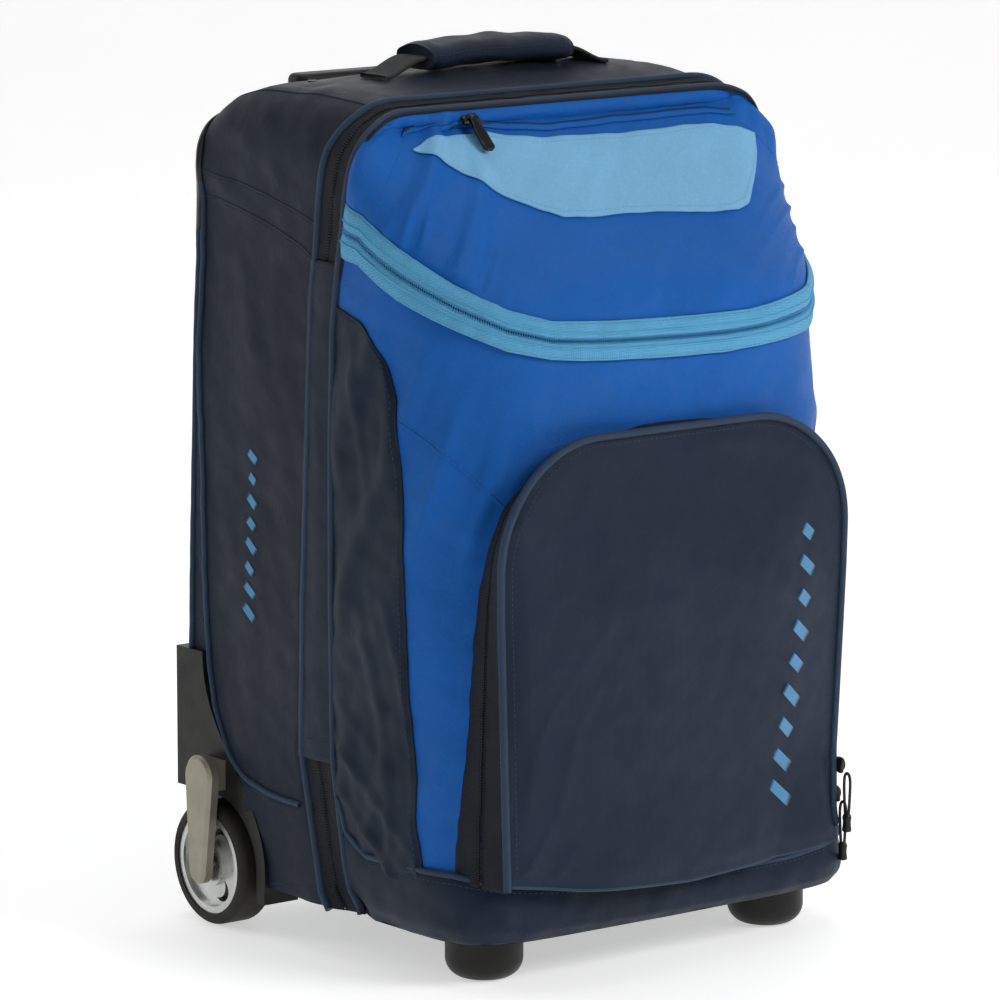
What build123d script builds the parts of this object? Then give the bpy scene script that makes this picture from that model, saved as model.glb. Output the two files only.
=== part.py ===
from build123d import *
import math
import os

# A wheeled, soft-sided sports bag that stands upright. X is across the bag, the front faces -Y,
# +Z is up, and the origin is on the floor at the middle of the bag's footprint. Millimetres.

# The bag's two halves, which meet at the main zip.
BODY_HALF_WIDTH = 154
BASE_Z = 30
REAR_TOP_Z = 508
ZIP_TOP_Z = 505
ZIP_FRONT_Y = -9
ZIP_SPLIT_Y = 4.5
ZIP_REAR_Y = 18
REAR_Y = 139
LID_FRONT_Y = -130
LID_TOP_Z = 500
LID_FRONT_TOP_Z = 398
LID_CORNER_RADIUS = 45
ZIP_CORNER_RADIUS = 45
LOW_CORNER_RADIUS = 22
REAR_TOP_RADIUS = 50
SHELL_THICKNESS = 3
TAPE_THICKNESS = 2.5
PIPING_DEPTH = 3
PIPING_WIDTH = 4
GAP = 0.3

# Stiffening boards inside the rear half, and the lining that hides the handle's tubes.
BOARD_HALF_WIDTH = 124
LINING_HALF_WIDTH = 112

# The cloth over the hinge side of the main zip.
HINGE_COVER_DEPTH = 2
HINGE_COVER_LOW_Z = 118
HINGE_COVER_TOP_Z = 415

# The zip band that splits the lid's upper flap from its lower shell, falling towards the front.
BAND_FRONT_Z = 372
BAND_SLOPE = 0.455
BAND_TAPE_HEIGHT = 11
BAND_DEPTH = 1.5
SKIN_BACK_Y = ZIP_FRONT_Y - PIPING_WIDTH / 2 - GAP
SKIRT_TOP_Z = 56
SKIRT_DEPTH = 2
PATCH_THICKNESS = 1

# The arched front pocket.
POCKET_HALF_WIDTH = 124
POCKET_LOW_Z = 57
POCKET_HIGH_Z = 318
POCKET_RADIUS = 72
POCKET_LOW_RADIUS = 6
POCKET_FRONT_Y = -154
POCKET_SPLIT_Y = -134
POCKET_WALL = 3
POCKET_PANEL = 2
SLIDER_HALF_LENGTH = 6
SLIDER_HALF_WIDTH = 4
SLIDER_HEIGHT = 3.6
LUG_HALF_WIDTH = 1.2
LUG_HOLE_RADIUS = 1.9

# Wheels, axles and their housings.
WHEEL_RADIUS = 37.6
WHEEL_Y = 115
WHEEL_OUTER_X = 163
WHEEL_INNER_X = 139
RIM_RADIUS = 30.8
RIM_INSET = 1
BEARING_RADIUS = 11
BEARING_WIDTH = 7
AXLE_RADIUS = 3.95
AXLE_BORE_RADIUS = 4.0
HOUSING_X = 157
HOUSING_REAR_Y = 154
HOUSING_LOW_Z = 20
HOUSING_TOP_Z = 165
NOTCH_X = 132
NOTCH_Y = 68
NOTCH_Z = 84
NOTCH_WALL = 3.5
WHEEL_SPACE_RADIUS = 42
ARM_OUTER_X = 172
ARM_INNER_X = 165

# Front feet.
FOOT_X = 107.6
FOOT_Y = -85.5
FOOT_RADIUS = 23
FOOT_ROUNDING = 12
SCREW_RADIUS = 2.9
SCREW_HOLE_RADIUS = 3.05

# The telescopic handle.
TUBE_X = 80
TUBE_Y = 121
OUTER_TUBE_RADIUS = 9.5
MIDDLE_TUBE_RADIUS = 8.0
INNER_TUBE_RADIUS = 6.5
TUBE_CLEARANCE = 0.06
INNER_TUBE_BORE = 5.3
ROD_RADIUS = 2
GRIP_HALF_LENGTH = 92
GRIP_HALF_WIDTH = 9
GRIP_LOW_Z = 492
GRIP_TOP_Z = 510
BUTTON_HALF_LENGTH = 22
BUTTON_HALF_WIDTH = 4
BUTTON_PROUD = 1.5
TRAY_HALF_LENGTH = 98
TRAY_HALF_WIDTH = 13
TRAY_LOW_Z = 479
TRAY_TOP_Z = 490
TRAY_SLOT_MARGIN = 0.5

# The carry handle.
CARRY_Y = 51
STRAP_HALF_WIDTH = 15
STRAP_END_X = 80
STRAP_TOP_Z = 527
PAD_HALF_LENGTH = 52
PAD_HALF_WIDTH = 20
PAD_LOW_Z = 515.5
PAD_TOP_Z = 536

# Cord pulls on the pocket's two zip sliders.
CORD_RADIUS = 0.9
PULL_END_RADIUS = 3
PULL_END_LENGTH = 11
PULL_END_DROP = 36
PULL_UPPER_X = 132.5
PULL_UPPER_Y = -136
PULL_LOWER_X = 136
PULL_LOWER_Y = -129.5
PULL_UPPER_Z = 95
PULL_LOWER_Z = 77
FAR = 700


def box_between(x0, x1, y0, y1, z0, z1):
    """A box from its lowest to its highest corner."""
    centre = Pos((x0 + x1) / 2, (y0 + y1) / 2, (z0 + z1) / 2)
    return centre * Box(x1 - x0, y1 - y0, z1 - z0)


def rod(x, y, z0, z1, radius):
    """An upright cylinder."""
    return Pos(x, y, (z0 + z1) / 2) * Cylinder(radius, z1 - z0)


def cross_rod(x0, x1, y, z, radius):
    """A cylinder that lies along X."""
    return Pos((x0 + x1) / 2, y, z) * Rot(0, 90, 0) * Cylinder(radius, x1 - x0)


def front_outline(half_width, low, high, top_radius, low_radius):
    """The bag seen from the front: a rectangle with rounded corners."""
    face = Pos(0, (low + high) / 2) * Rectangle(2 * half_width, high - low)
    face = fillet(face.vertices().group_by(Axis.Y)[0], low_radius)
    return fillet(face.vertices().group_by(Axis.Y)[-1], top_radius)


def slab(outline, y0, y1):
    """A front outline made solid from y0 to y1."""
    return extrude(Plane.XZ.offset(-y1) * outline, amount=y1 - y0)


def bar(profile, x0, x1):
    """A side profile, drawn in y and z, made solid from x0 to x1."""
    return extrude(Plane.YZ.offset(x0) * profile, amount=x1 - x0)


def side_polygon(*points):
    """A straight-sided side profile."""
    return make_face(Polyline(*points, close=True))


def zip_outline(grow):
    """The outline that the main zip runs round, grown outwards."""
    return front_outline(
        BODY_HALF_WIDTH + grow,
        BASE_Z - grow,
        ZIP_TOP_Z + grow,
        ZIP_CORNER_RADIUS + grow,
        LOW_CORNER_RADIUS + grow,
    )


def zip_ring(outside, inside, y0, y1):
    """A band round the main zip's outline."""
    return slab(zip_outline(outside), y0, y1) - slab(zip_outline(inside), y0 - 1, y1 + 1)


def wheel_notch(side, margin):
    """The corner cut out of the rear half for one wheel."""
    inner = NOTCH_X - margin
    x0, x1 = sorted((side * inner, side * FAR))
    return box_between(x0, x1, NOTCH_Y - margin, FAR, -FAR, NOTCH_Z + margin)


def rear_block(inset, front_y, notched=True):
    """The rear half as one block, with rounded top corners and a rounded rear top edge."""
    low = BASE_Z + inset
    high = REAR_TOP_Z - inset
    back = REAR_Y - inset
    outline = front_outline(
        BODY_HALF_WIDTH - inset,
        low,
        high,
        ZIP_CORNER_RADIUS - inset,
        LOW_CORNER_RADIUS - inset,
    )
    profile = Pos((front_y - 50 + back) / 2, (low + high) / 2) * Rectangle(back - front_y + 50, high - low)
    rear_top = profile.vertices().sort_by(Axis.Y)[-2:].sort_by(Axis.X)[-1]
    profile = fillet(rear_top, REAR_TOP_RADIUS - inset)
    block = slab(outline, front_y, back) & bar(profile, -FAR, FAR)
    if notched:
        for side in (-1, 1):
            block -= wheel_notch(side, inset)
    return block


def main_shell():
    """The rear half's fabric shell, open towards the lid, with a slot for the handle's tray."""
    shell = rear_block(0, ZIP_REAR_Y) - rear_block(SHELL_THICKNESS, ZIP_REAR_Y - 0.01)
    slot_x = TRAY_HALF_LENGTH + TRAY_SLOT_MARGIN
    slot_y = TRAY_HALF_WIDTH + TRAY_SLOT_MARGIN
    tray_slot = box_between(-slot_x, slot_x, TUBE_Y - slot_y, TUBE_Y + slot_y, TRAY_LOW_Z - 5, FAR)
    return shell - tray_slot


def corner_guard(side):
    """A narrow moulded band over the shell's rear top edge."""
    skin = rear_block(-1.5, ZIP_REAR_Y, notched=False) - rear_block(0, ZIP_REAR_Y - 1, notched=False)
    inner_profile = Pos(REAR_Y - 108, REAR_TOP_Z - 108) * Rectangle(200, 200)
    inner_corner = inner_profile.vertices().sort_by(Axis.Y)[-2:].sort_by(Axis.X)[-1]
    inner_profile = fillet(inner_corner, REAR_TOP_RADIUS - 8)
    edge_band = box_between(0, FAR, 72, FAR, 432, FAR) - bar(inner_profile, -1, FAR)
    reach = box_between(BODY_HALF_WIDTH - 9, FAR, -FAR, FAR, 0, FAR)
    guard = skin & edge_band & reach
    return guard if side > 0 else mirror(guard, about=Plane.YZ)


def housing_profile():
    """The wheel housing seen from the side: a rising edge that curves up to the rear corner."""
    edge = Spline((NOTCH_Y - 3, 28), (72, 68), (105, 111), (127, HOUSING_TOP_Z))
    rest = Polyline(
        (127, HOUSING_TOP_Z),
        (HOUSING_REAR_Y, HOUSING_TOP_Z),
        (HOUSING_REAR_Y, HOUSING_LOW_Z),
        (NOTCH_Y - 3, HOUSING_LOW_Z),
        (NOTCH_Y - 3, 28),
    )
    return make_face([edge, rest])


def wheel_housing(side):
    """The moulded corner that carries a wheel, with its arch and its inner wall."""
    cover = bar(housing_profile(), 120, HOUSING_X)
    cover -= rear_block(0, ZIP_REAR_Y, notched=False)
    cover -= box_between(0, FAR, -FAR, REAR_Y, -FAR, BASE_Z) & box_between(0, NOTCH_X, -FAR, FAR, 0, FAR)
    cup = box_between(NOTCH_X, BODY_HALF_WIDTH, NOTCH_Y, REAR_Y, BASE_Z, NOTCH_Z)
    housing = cover + cup
    wall_x = NOTCH_X + NOTCH_WALL
    arch_top = WHEEL_RADIUS + WHEEL_SPACE_RADIUS
    housing -= cross_rod(wall_x, FAR, WHEEL_Y, WHEEL_RADIUS, WHEEL_SPACE_RADIUS)
    housing -= box_between(wall_x, FAR, WHEEL_Y, FAR, -5, arch_top)
    housing -= box_between(wall_x, FAR, WHEEL_Y - WHEEL_SPACE_RADIUS, FAR, -5, WHEEL_RADIUS)
    housing -= cross_rod(0, FAR, WHEEL_Y, WHEEL_RADIUS, AXLE_BORE_RADIUS)
    return housing if side > 0 else mirror(housing, about=Plane.YZ)


def arm_cover(side):
    """The tapered cover that comes down over the wheel's outer face and holds the axle."""
    top = Pos(113, 92) * Circle(13.5)
    tip = Pos(WHEEL_Y, 34) * Circle(8)
    outline = make_hull(top.edges() + tip.edges())
    arm = bar(outline, ARM_INNER_X, ARM_OUTER_X)
    arm = chamfer(arm.faces().sort_by(Axis.X)[-1].edges(), 2)
    arm += box_between(HOUSING_X, ARM_INNER_X, 104, 123, 84, 102)
    arm -= cross_rod(0, ARM_INNER_X + 4, WHEEL_Y, WHEEL_RADIUS, AXLE_BORE_RADIUS)
    return arm if side > 0 else mirror(arm, about=Plane.YZ)


def axles():
    """Both wheels' axles."""
    pins = [cross_rod(NOTCH_X, ARM_INNER_X + 4, WHEEL_Y, WHEEL_RADIUS, AXLE_RADIUS)]
    pins.append(mirror(pins[0], about=Plane.YZ))
    return Compound(children=pins)


def tyre(side):
    ring = cross_rod(WHEEL_INNER_X, WHEEL_OUTER_X, WHEEL_Y, WHEEL_RADIUS, WHEEL_RADIUS)
    ring = fillet(ring.edges(), 4)
    ring -= cross_rod(0, FAR, WHEEL_Y, WHEEL_RADIUS, RIM_RADIUS)
    return ring if side > 0 else mirror(ring, about=Plane.YZ)


def rim(side):
    """A disc rim with a dished outer face and three crescent windows."""
    x0 = WHEEL_INNER_X + RIM_INSET
    x1 = WHEEL_OUTER_X - RIM_INSET
    disc = cross_rod(x0, x1, WHEEL_Y, WHEEL_RADIUS, RIM_RADIUS)
    dish = cross_rod(x1 - 3, x1 + 1, WHEEL_Y, WHEEL_RADIUS, 26.5)
    disc -= dish - cross_rod(0, FAR, WHEEL_Y, WHEEL_RADIUS, 14)
    crescent = Pos(18, 0) * Circle(7) - Pos(14, 2) * Circle(7.5)
    for turn in range(3):
        window = Pos(WHEEL_Y, WHEEL_RADIUS) * Rot(0, 0, 120 * turn) * crescent
        disc -= bar(window, x0 - 1, x1 + 1)
    disc -= cross_rod(0, FAR, WHEEL_Y, WHEEL_RADIUS, BEARING_RADIUS)
    return disc if side > 0 else mirror(disc, about=Plane.YZ)


def bearings(side):
    """The two ball bearings pressed into a rim."""
    races = []
    for x0 in (WHEEL_INNER_X + RIM_INSET, WHEEL_OUTER_X - RIM_INSET - BEARING_WIDTH):
        race = cross_rod(x0, x0 + BEARING_WIDTH, WHEEL_Y, WHEEL_RADIUS, BEARING_RADIUS)
        race -= cross_rod(0, FAR, WHEEL_Y, WHEEL_RADIUS, AXLE_BORE_RADIUS)
        races.append(race if side > 0 else mirror(race, about=Plane.YZ))
    return Compound(children=races)


def tube_pair(radius, bore, z0, z1):
    """Two upright tubes, one each side."""
    tubes = []
    for side in (-1, 1):
        tube = rod(side * TUBE_X, TUBE_Y, z0, z1, radius)
        tubes.append(tube - rod(side * TUBE_X, TUBE_Y, z0 - 1, z1 + 1, bore))
    return Compound(children=tubes)


def handle_tray():
    """The moulded mouth that the handle's tubes come out of."""
    tray = box_between(
        -TRAY_HALF_LENGTH, TRAY_HALF_LENGTH,
        TUBE_Y - TRAY_HALF_WIDTH, TUBE_Y + TRAY_HALF_WIDTH,
        TRAY_LOW_Z, TRAY_TOP_Z,
    )
    tray = fillet(tray.edges().filter_by(Axis.Z), 8)
    for side in (-1, 1):
        tray -= rod(side * TUBE_X, TUBE_Y, TRAY_LOW_Z - 9, TRAY_TOP_Z + 10, OUTER_TUBE_RADIUS + 0.1)
    return tray


def tube_bracket():
    """The cross piece that ties the tubes' lower ends to the base."""
    bracket = box_between(-95, 95, 109, 133, 36, 52)
    bracket = fillet(bracket.edges().filter_by(Axis.Z), 4)
    for side in (-1, 1):
        bracket -= rod(side * TUBE_X, TUBE_Y, 42, 60, OUTER_TUBE_RADIUS + 0.1)
    return bracket


def handle_grip():
    """The hollow grip, with a slot in its top for the release button."""
    grip = box_between(
        -GRIP_HALF_LENGTH, GRIP_HALF_LENGTH,
        TUBE_Y - GRIP_HALF_WIDTH, TUBE_Y + GRIP_HALF_WIDTH,
        GRIP_LOW_Z, GRIP_TOP_Z,
    )
    grip = fillet(grip.edges().filter_by(Axis.Z), 7)
    grip = fillet(grip.faces().sort_by(Axis.Z)[-1].edges(), 4)
    grip -= box_between(-85, 85, TUBE_Y - 5, TUBE_Y + 5, GRIP_LOW_Z + 3, GRIP_TOP_Z - 4)
    slot_x = BUTTON_HALF_LENGTH + GAP
    slot_y = BUTTON_HALF_WIDTH + GAP
    grip -= box_between(-slot_x, slot_x, TUBE_Y - slot_y, TUBE_Y + slot_y, GRIP_TOP_Z - 5, GRIP_TOP_Z + 5)
    for side in (-1, 1):
        grip -= rod(side * TUBE_X, TUBE_Y, GRIP_LOW_Z - 1, GRIP_LOW_Z + 4, ROD_RADIUS + 0.5)
    return grip


def grip_button():
    """The release button with its crossbar."""
    bar_low = GRIP_LOW_Z + 7.5
    button = box_between(-83, 83, TUBE_Y - 3, TUBE_Y + 3, bar_low, bar_low + 3)
    button += box_between(
        -BUTTON_HALF_LENGTH, BUTTON_HALF_LENGTH,
        TUBE_Y - BUTTON_HALF_WIDTH, TUBE_Y + BUTTON_HALF_WIDTH,
        bar_low + 1, GRIP_TOP_Z + BUTTON_PROUD,
    )
    return button


def release_rods():
    """The rods inside the inner tubes that the button pushes to free the locks."""
    rods = [rod(side * TUBE_X, TUBE_Y, 90, GRIP_LOW_Z + 7.5, ROD_RADIUS) for side in (-1, 1)]
    return Compound(children=rods)


def strap_arch(drop):
    """The carry strap's line seen from the front, moved down by its thickness."""
    slope_run = 24
    return (
        (-STRAP_END_X + drop * 1.8, REAR_TOP_Z + 1.5),
        (-STRAP_END_X + slope_run, STRAP_TOP_Z - drop),
        (STRAP_END_X - slope_run, STRAP_TOP_Z - drop),
        (STRAP_END_X - drop * 1.8, REAR_TOP_Z + 1.5),
    )


def carry_strap():
    arch = make_face(Polyline(*strap_arch(0), close=True)) - make_face(Polyline(*strap_arch(3), close=True))
    return slab(arch, CARRY_Y - STRAP_HALF_WIDTH, CARRY_Y + STRAP_HALF_WIDTH)


def carry_pad():
    """The padded sleeve round the strap's middle."""
    pad = box_between(
        -PAD_HALF_LENGTH, PAD_HALF_LENGTH,
        CARRY_Y - PAD_HALF_WIDTH, CARRY_Y + PAD_HALF_WIDTH,
        PAD_LOW_Z, PAD_TOP_Z,
    )
    pad = fillet(pad.edges().filter_by(Axis.X), 7)
    return pad - carry_strap()


def handle_anchors():
    """The stitched patches under the strap's two ends."""
    patches = []
    for side in (-1, 1):
        x0, x1 = sorted((side * 66, side * 96))
        patches.append(box_between(x0, x1, CARRY_Y - 20, CARRY_Y + 20, REAR_TOP_Z, REAR_TOP_Z + 1.5))
    return Compound(children=patches)


def rivets():
    """Small domed rivets at the handle tray's front corners."""
    heads = [rod(side * 104, 84, REAR_TOP_Z, REAR_TOP_Z + 2, 3) for side in (-1, 1)]
    return Compound(children=heads)


def roof_z(y, grow):
    """Height of the lid's sloping roof, grown along its own normal."""
    slope = (LID_TOP_Z - LID_FRONT_TOP_Z) / (ZIP_FRONT_Y - LID_FRONT_Y)
    return LID_TOP_Z + (y - ZIP_FRONT_Y) * slope + grow * (1 + slope ** 2) ** 0.5


def lid_block(grow, back_y, low_z):
    """The lid as one block: rounded front corners in plan, and a roof that slopes to the front."""
    half_width = BODY_HALF_WIDTH + grow
    front = LID_FRONT_Y - grow
    plan = Pos(0, (front + back_y) / 2) * Rectangle(2 * half_width, back_y - front)
    plan = fillet(plan.vertices().group_by(Axis.Y)[0], LID_CORNER_RADIUS + grow)
    block = extrude(Pos(0, 0, low_z) * plan, amount=FAR + 200)
    profile = side_polygon(
        (back_y, low_z),
        (front, low_z),
        (front, roof_z(front, grow)),
        (back_y, roof_z(back_y, grow)),
    )
    shaped = block & bar(profile, -FAR, FAR)
    top_view = front_outline(
        half_width,
        low_z,
        LID_TOP_Z + grow,
        ZIP_CORNER_RADIUS + grow,
        LOW_CORNER_RADIUS + grow,
    )
    return shaped & slab(top_view, -FAR, FAR)


def band_z(y, rise):
    return BAND_FRONT_Z + (y - LID_FRONT_Y) * BAND_SLOPE + rise


def under_band(rise):
    """Everything below the zip band's plane, moved up by rise."""
    profile = side_polygon((-FAR, band_z(-FAR, rise)), (FAR, band_z(FAR, rise)), (FAR, -FAR), (-FAR, -FAR))
    return bar(profile, -FAR, FAR)


def lid_shell():
    """The lid below the zip band: floor, front and sides."""
    shell = lid_block(0, ZIP_FRONT_Y, BASE_Z) - lid_block(-SHELL_THICKNESS, FAR, BASE_Z + SHELL_THICKNESS)
    shell = shell & under_band(0)
    for side in (-1, 1):
        shell -= rod(side * FOOT_X, FOOT_Y, 0, 60, SCREW_HOLE_RADIUS)
    return shell


def flap_shell():
    """The lid above the zip band, which lifts about its top edge."""
    back = ZIP_FRONT_Y - GAP
    shell = lid_block(0, back, BASE_Z) - lid_block(-TAPE_THICKNESS, FAR, BASE_Z - 5)
    return shell - under_band(2 * GAP)


def skin(depth, low_z):
    """A skin laid over the lid's outside."""
    return lid_block(depth, SKIN_BACK_Y, low_z) - lid_block(0, FAR, low_z - 1)


def band_tape(low, high):
    return (skin(BAND_DEPTH, BASE_Z) & under_band(high)) - under_band(low)


def base_skirt():
    """The navy skirt round the lid's foot."""
    return skin(SKIRT_DEPTH, BASE_Z) & box_between(-FAR, FAR, -FAR, FAR, 0, SKIRT_TOP_Z)


def lid_piping():
    """The corded piping round the zip's front edge."""
    low = ZIP_FRONT_Y - PIPING_WIDTH / 2
    return zip_ring(PIPING_DEPTH, 0, low, low + PIPING_WIDTH)


def roof_plane():
    """The lid's sloping roof, with local Y up the slope and its origin at the top edge."""
    fall = LID_TOP_Z - LID_FRONT_TOP_Z
    run = ZIP_FRONT_Y - LID_FRONT_Y
    return Plane(origin=(0, ZIP_FRONT_Y, LID_TOP_Z), x_dir=(1, 0, 0), z_dir=(0, -fall, run))


def patch_panel():
    """The pale patch pocket sewn to the sloping roof."""
    top_edge = Spline((-118, -33), (-60, -26), (40, -34), (112, -31))
    rest = Polyline((112, -31), (122, -44), (92, -98), (-45, -96), (-84, -74), (-118, -33))
    return extrude(roof_plane() * make_face([top_edge, rest]), amount=PATCH_THICKNESS)


def roof_box(x0, x1, down0, down1, low, high):
    """A box on the roof, placed by its distance down the slope and its height above it."""
    return roof_plane() * box_between(x0, x1, -down1, -down0, low, high)


def foot(side):
    """A rounded moulded foot."""
    dome = rod(side * FOOT_X, FOOT_Y, 0, BASE_Z, FOOT_RADIUS)
    dome = fillet(dome.edges().sort_by(Axis.Z)[0], FOOT_ROUNDING)
    return dome - rod(side * FOOT_X, FOOT_Y, 12, BASE_Z + 1, SCREW_HOLE_RADIUS)


def foot_screws():
    """The screws that hold the feet, with their heads on the lid's floor."""
    floor = BASE_Z + SHELL_THICKNESS
    screws = []
    for side in (-1, 1):
        shank = rod(side * FOOT_X, FOOT_Y, 14, floor, SCREW_RADIUS)
        screws.append(shank + rod(side * FOOT_X, FOOT_Y, floor, floor + 2.5, 6))
    return Compound(children=screws)


def pocket_outline(grow):
    return front_outline(
        POCKET_HALF_WIDTH + grow,
        POCKET_LOW_Z - grow,
        POCKET_HIGH_Z + grow,
        POCKET_RADIUS + grow,
        POCKET_LOW_RADIUS + grow,
    )


def pocket_ring(outside, inside, y0, y1):
    return slab(pocket_outline(outside), y0, y1) - slab(pocket_outline(inside), y0 - 1, y1 + 1)


def pocket_slider(x, y, z):
    """A zip slider with the lug that its cord runs through at (x, y, z)."""
    inner_x = POCKET_HALF_WIDTH + GAP
    outer_x = inner_x + SLIDER_HEIGHT
    slider = box_between(
        inner_x, outer_x,
        POCKET_SPLIT_Y - SLIDER_HALF_WIDTH, POCKET_SPLIT_Y + SLIDER_HALF_WIDTH,
        z - SLIDER_HALF_LENGTH, z + SLIDER_HALF_LENGTH,
    )
    lug = box_between(outer_x - 1, x + 3, y - LUG_HALF_WIDTH, y + LUG_HALF_WIDTH, z - 3, z + 4)
    hole = Pos(x, y, z) * Rot(90, 0, 0) * Cylinder(LUG_HOLE_RADIUS, 10)
    return slider + (lug - hole)


def pull_route(x, y, z):
    """A cord pull's hairpin: up one side, through the lug and down the other."""
    offsets = ((-1.4, -27), (-2.5, -14), (-2.9, -2.4), (0, 0.7), (2.9, -2.4), (2.6, -15), (1.5, -27))
    return [(x, y + across, z + up) for across, up in offsets]


def corner_radii(points):
    """Each corner's arc: 0.45 of its shorter run over the tangent of half its turn."""
    radii = []
    for before, at, after in zip(points, points[1:], points[2:]):
        run_in = Vector(*at) - Vector(*before)
        run_out = Vector(*after) - Vector(*at)
        half_turn = run_in.get_angle(run_out) / 2
        shorter = min(run_in.length, run_out.length)
        radii.append(0.45 * shorter / math.tan(math.radians(half_turn)))
    return radii


def pull_cord(x, y, z):
    """The cord of a pull, as a tube with tangent arcs."""
    points = pull_route(x, y, z)
    radii = corner_radii(points)
    print("cord arcs", [round(radius, 2) for radius in radii])
    path = FilletPolyline(*points, radius=radii)
    start = Plane(origin=path @ 0, z_dir=path % 0)
    cord = sweep(start * Circle(CORD_RADIUS), path=path)
    expected = math.pi * CORD_RADIUS ** 2 * path.length
    print("cord length", round(path.length, 2), "volume ratio", round(cord.volume / expected, 4))
    return cord


def pull_end(x, y, z):
    """The moulded end that holds a pull's two cord ends."""
    end = rod(x, y, z - PULL_END_DROP, z - PULL_END_DROP + PULL_END_LENGTH, PULL_END_RADIUS)
    return fillet(end.edges(), PULL_END_RADIUS / 2)


def main_slider():
    """A slider of the main zip, with its pull tab hanging."""
    x = BODY_HALF_WIDTH + GAP
    slider = box_between(x, x + 4, ZIP_SPLIT_Y - 5, ZIP_SPLIT_Y + 5, 242, 258)
    return slider + box_between(x + 4, x + 6, ZIP_SPLIT_Y - 4, ZIP_SPLIT_Y + 4, 214, 250)


def band_slider():
    """The zip band's slider, on the lid's right side."""
    x = BODY_HALF_WIDTH + BAND_DEPTH + GAP
    slider = Pos(x + 1.8, -34, band_z(-34, 0)) * Rot(24.5, 0, 0) * Box(3.6, 15, 9)
    tab = box_between(x + 3.6, x + 5.4, -38, -30, band_z(-34, 0) - 28, band_z(-34, 0) + 3)
    return slider + tab


def write(name, shape):
    shape.label = name
    export_step(shape, f"parts/{name}.step")


os.makedirs("parts", exist_ok=True)

write("main_shell", main_shell())
write("back_board", box_between(-BOARD_HALF_WIDTH, BOARD_HALF_WIDTH, 132.5, 135, 54, 450))
write("base_tray", box_between(-BOARD_HALF_WIDTH, BOARD_HALF_WIDTH, 20, 134, 33, 35))
write("tube_lining", box_between(-LINING_HALF_WIDTH, LINING_HALF_WIDTH, 104, 106, 37, 470))
write("rear_zip_tape", zip_ring(0, -TAPE_THICKNESS, ZIP_SPLIT_Y + GAP, ZIP_REAR_Y))
rear_piping_low = ZIP_REAR_Y - PIPING_WIDTH
write("rear_piping", zip_ring(PIPING_DEPTH, 0, rear_piping_low, ZIP_REAR_Y))
hinge_x = -BODY_HALF_WIDTH
for name, y0, y1 in (
    ("rear", ZIP_SPLIT_Y + GAP, rear_piping_low),
    ("front", ZIP_FRONT_Y + PIPING_WIDTH / 2, ZIP_SPLIT_Y - GAP),
):
    cover = box_between(hinge_x - HINGE_COVER_DEPTH, hinge_x, y0, y1, HINGE_COVER_LOW_Z, HINGE_COVER_TOP_Z)
    write(f"hinge_cover_{name}", cover)
for name, side in (("left", -1), ("right", 1)):
    write(f"corner_guard_{name}", corner_guard(side))
    write(f"wheel_housing_{name}", wheel_housing(side))
    write(f"arm_cover_{name}", arm_cover(side))
    write(f"tyre_{name}", tyre(side))
    write(f"rim_{name}", rim(side))
    write(f"bearings_{name}", bearings(side))
    write(f"foot_{name}", foot(side))
write("axles", axles())
write("handle_tray", handle_tray())
write("tube_bracket", tube_bracket())
write("outer_tubes", tube_pair(OUTER_TUBE_RADIUS, MIDDLE_TUBE_RADIUS + TUBE_CLEARANCE, 42, 487))
write("middle_tubes", tube_pair(MIDDLE_TUBE_RADIUS, INNER_TUBE_RADIUS + TUBE_CLEARANCE, 48, 489))
write("inner_tubes", tube_pair(INNER_TUBE_RADIUS, INNER_TUBE_BORE, 54, GRIP_LOW_Z))
write("handle_grip", handle_grip())
write("grip_button", grip_button())
write("release_rods", release_rods())
write("carry_strap", carry_strap())
write("carry_pad", carry_pad())
write("handle_anchors", handle_anchors())
write("rivets", rivets())
write("lid_shell", lid_shell())
write("lid_back_panel", box_between(-148, 148, -7, -5, 50, 455))
write("front_zip_tape", zip_ring(0, -TAPE_THICKNESS, ZIP_FRONT_Y, ZIP_SPLIT_Y - GAP))
write("lid_piping", lid_piping())
write("base_skirt", base_skirt())
write("foot_screws", foot_screws())
write("band_lower_tape", band_tape(-BAND_TAPE_HEIGHT, 0))
write("band_upper_tape", band_tape(2 * GAP, BAND_TAPE_HEIGHT))
write("flap_shell", flap_shell())
write("patch_panel", patch_panel())
write("roof_slider", roof_box(-80, -64, 9, 18.5, GAP, 4))
write("roof_pull", roof_box(-76.5, -67.5, 20.3, 45, 2, 4))
pocket_panel_y = POCKET_FRONT_Y + POCKET_PANEL
write("pocket_base_gusset", pocket_ring(0, -POCKET_WALL, POCKET_SPLIT_Y + GAP, LID_FRONT_Y))
write("pocket_flap_gusset", pocket_ring(0, -POCKET_WALL, pocket_panel_y, POCKET_SPLIT_Y - GAP))
write("pocket_flap_panel", slab(pocket_outline(0), POCKET_FRONT_Y, pocket_panel_y))
write("pocket_piping", pocket_ring(2.5, 0, POCKET_FRONT_Y, POCKET_FRONT_Y + 3))
upper_pull = (PULL_UPPER_X, PULL_UPPER_Y, PULL_UPPER_Z)
lower_pull = (PULL_LOWER_X, PULL_LOWER_Y, PULL_LOWER_Z)
for name, place in (("upper", upper_pull), ("lower", lower_pull)):
    write(f"pocket_slider_{name}", pocket_slider(*place))
    write(f"pull_cord_{name}", pull_cord(*place))
    write(f"pull_end_{name}", pull_end(*place))
write("main_slider", main_slider())
write("band_slider", band_slider())
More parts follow.
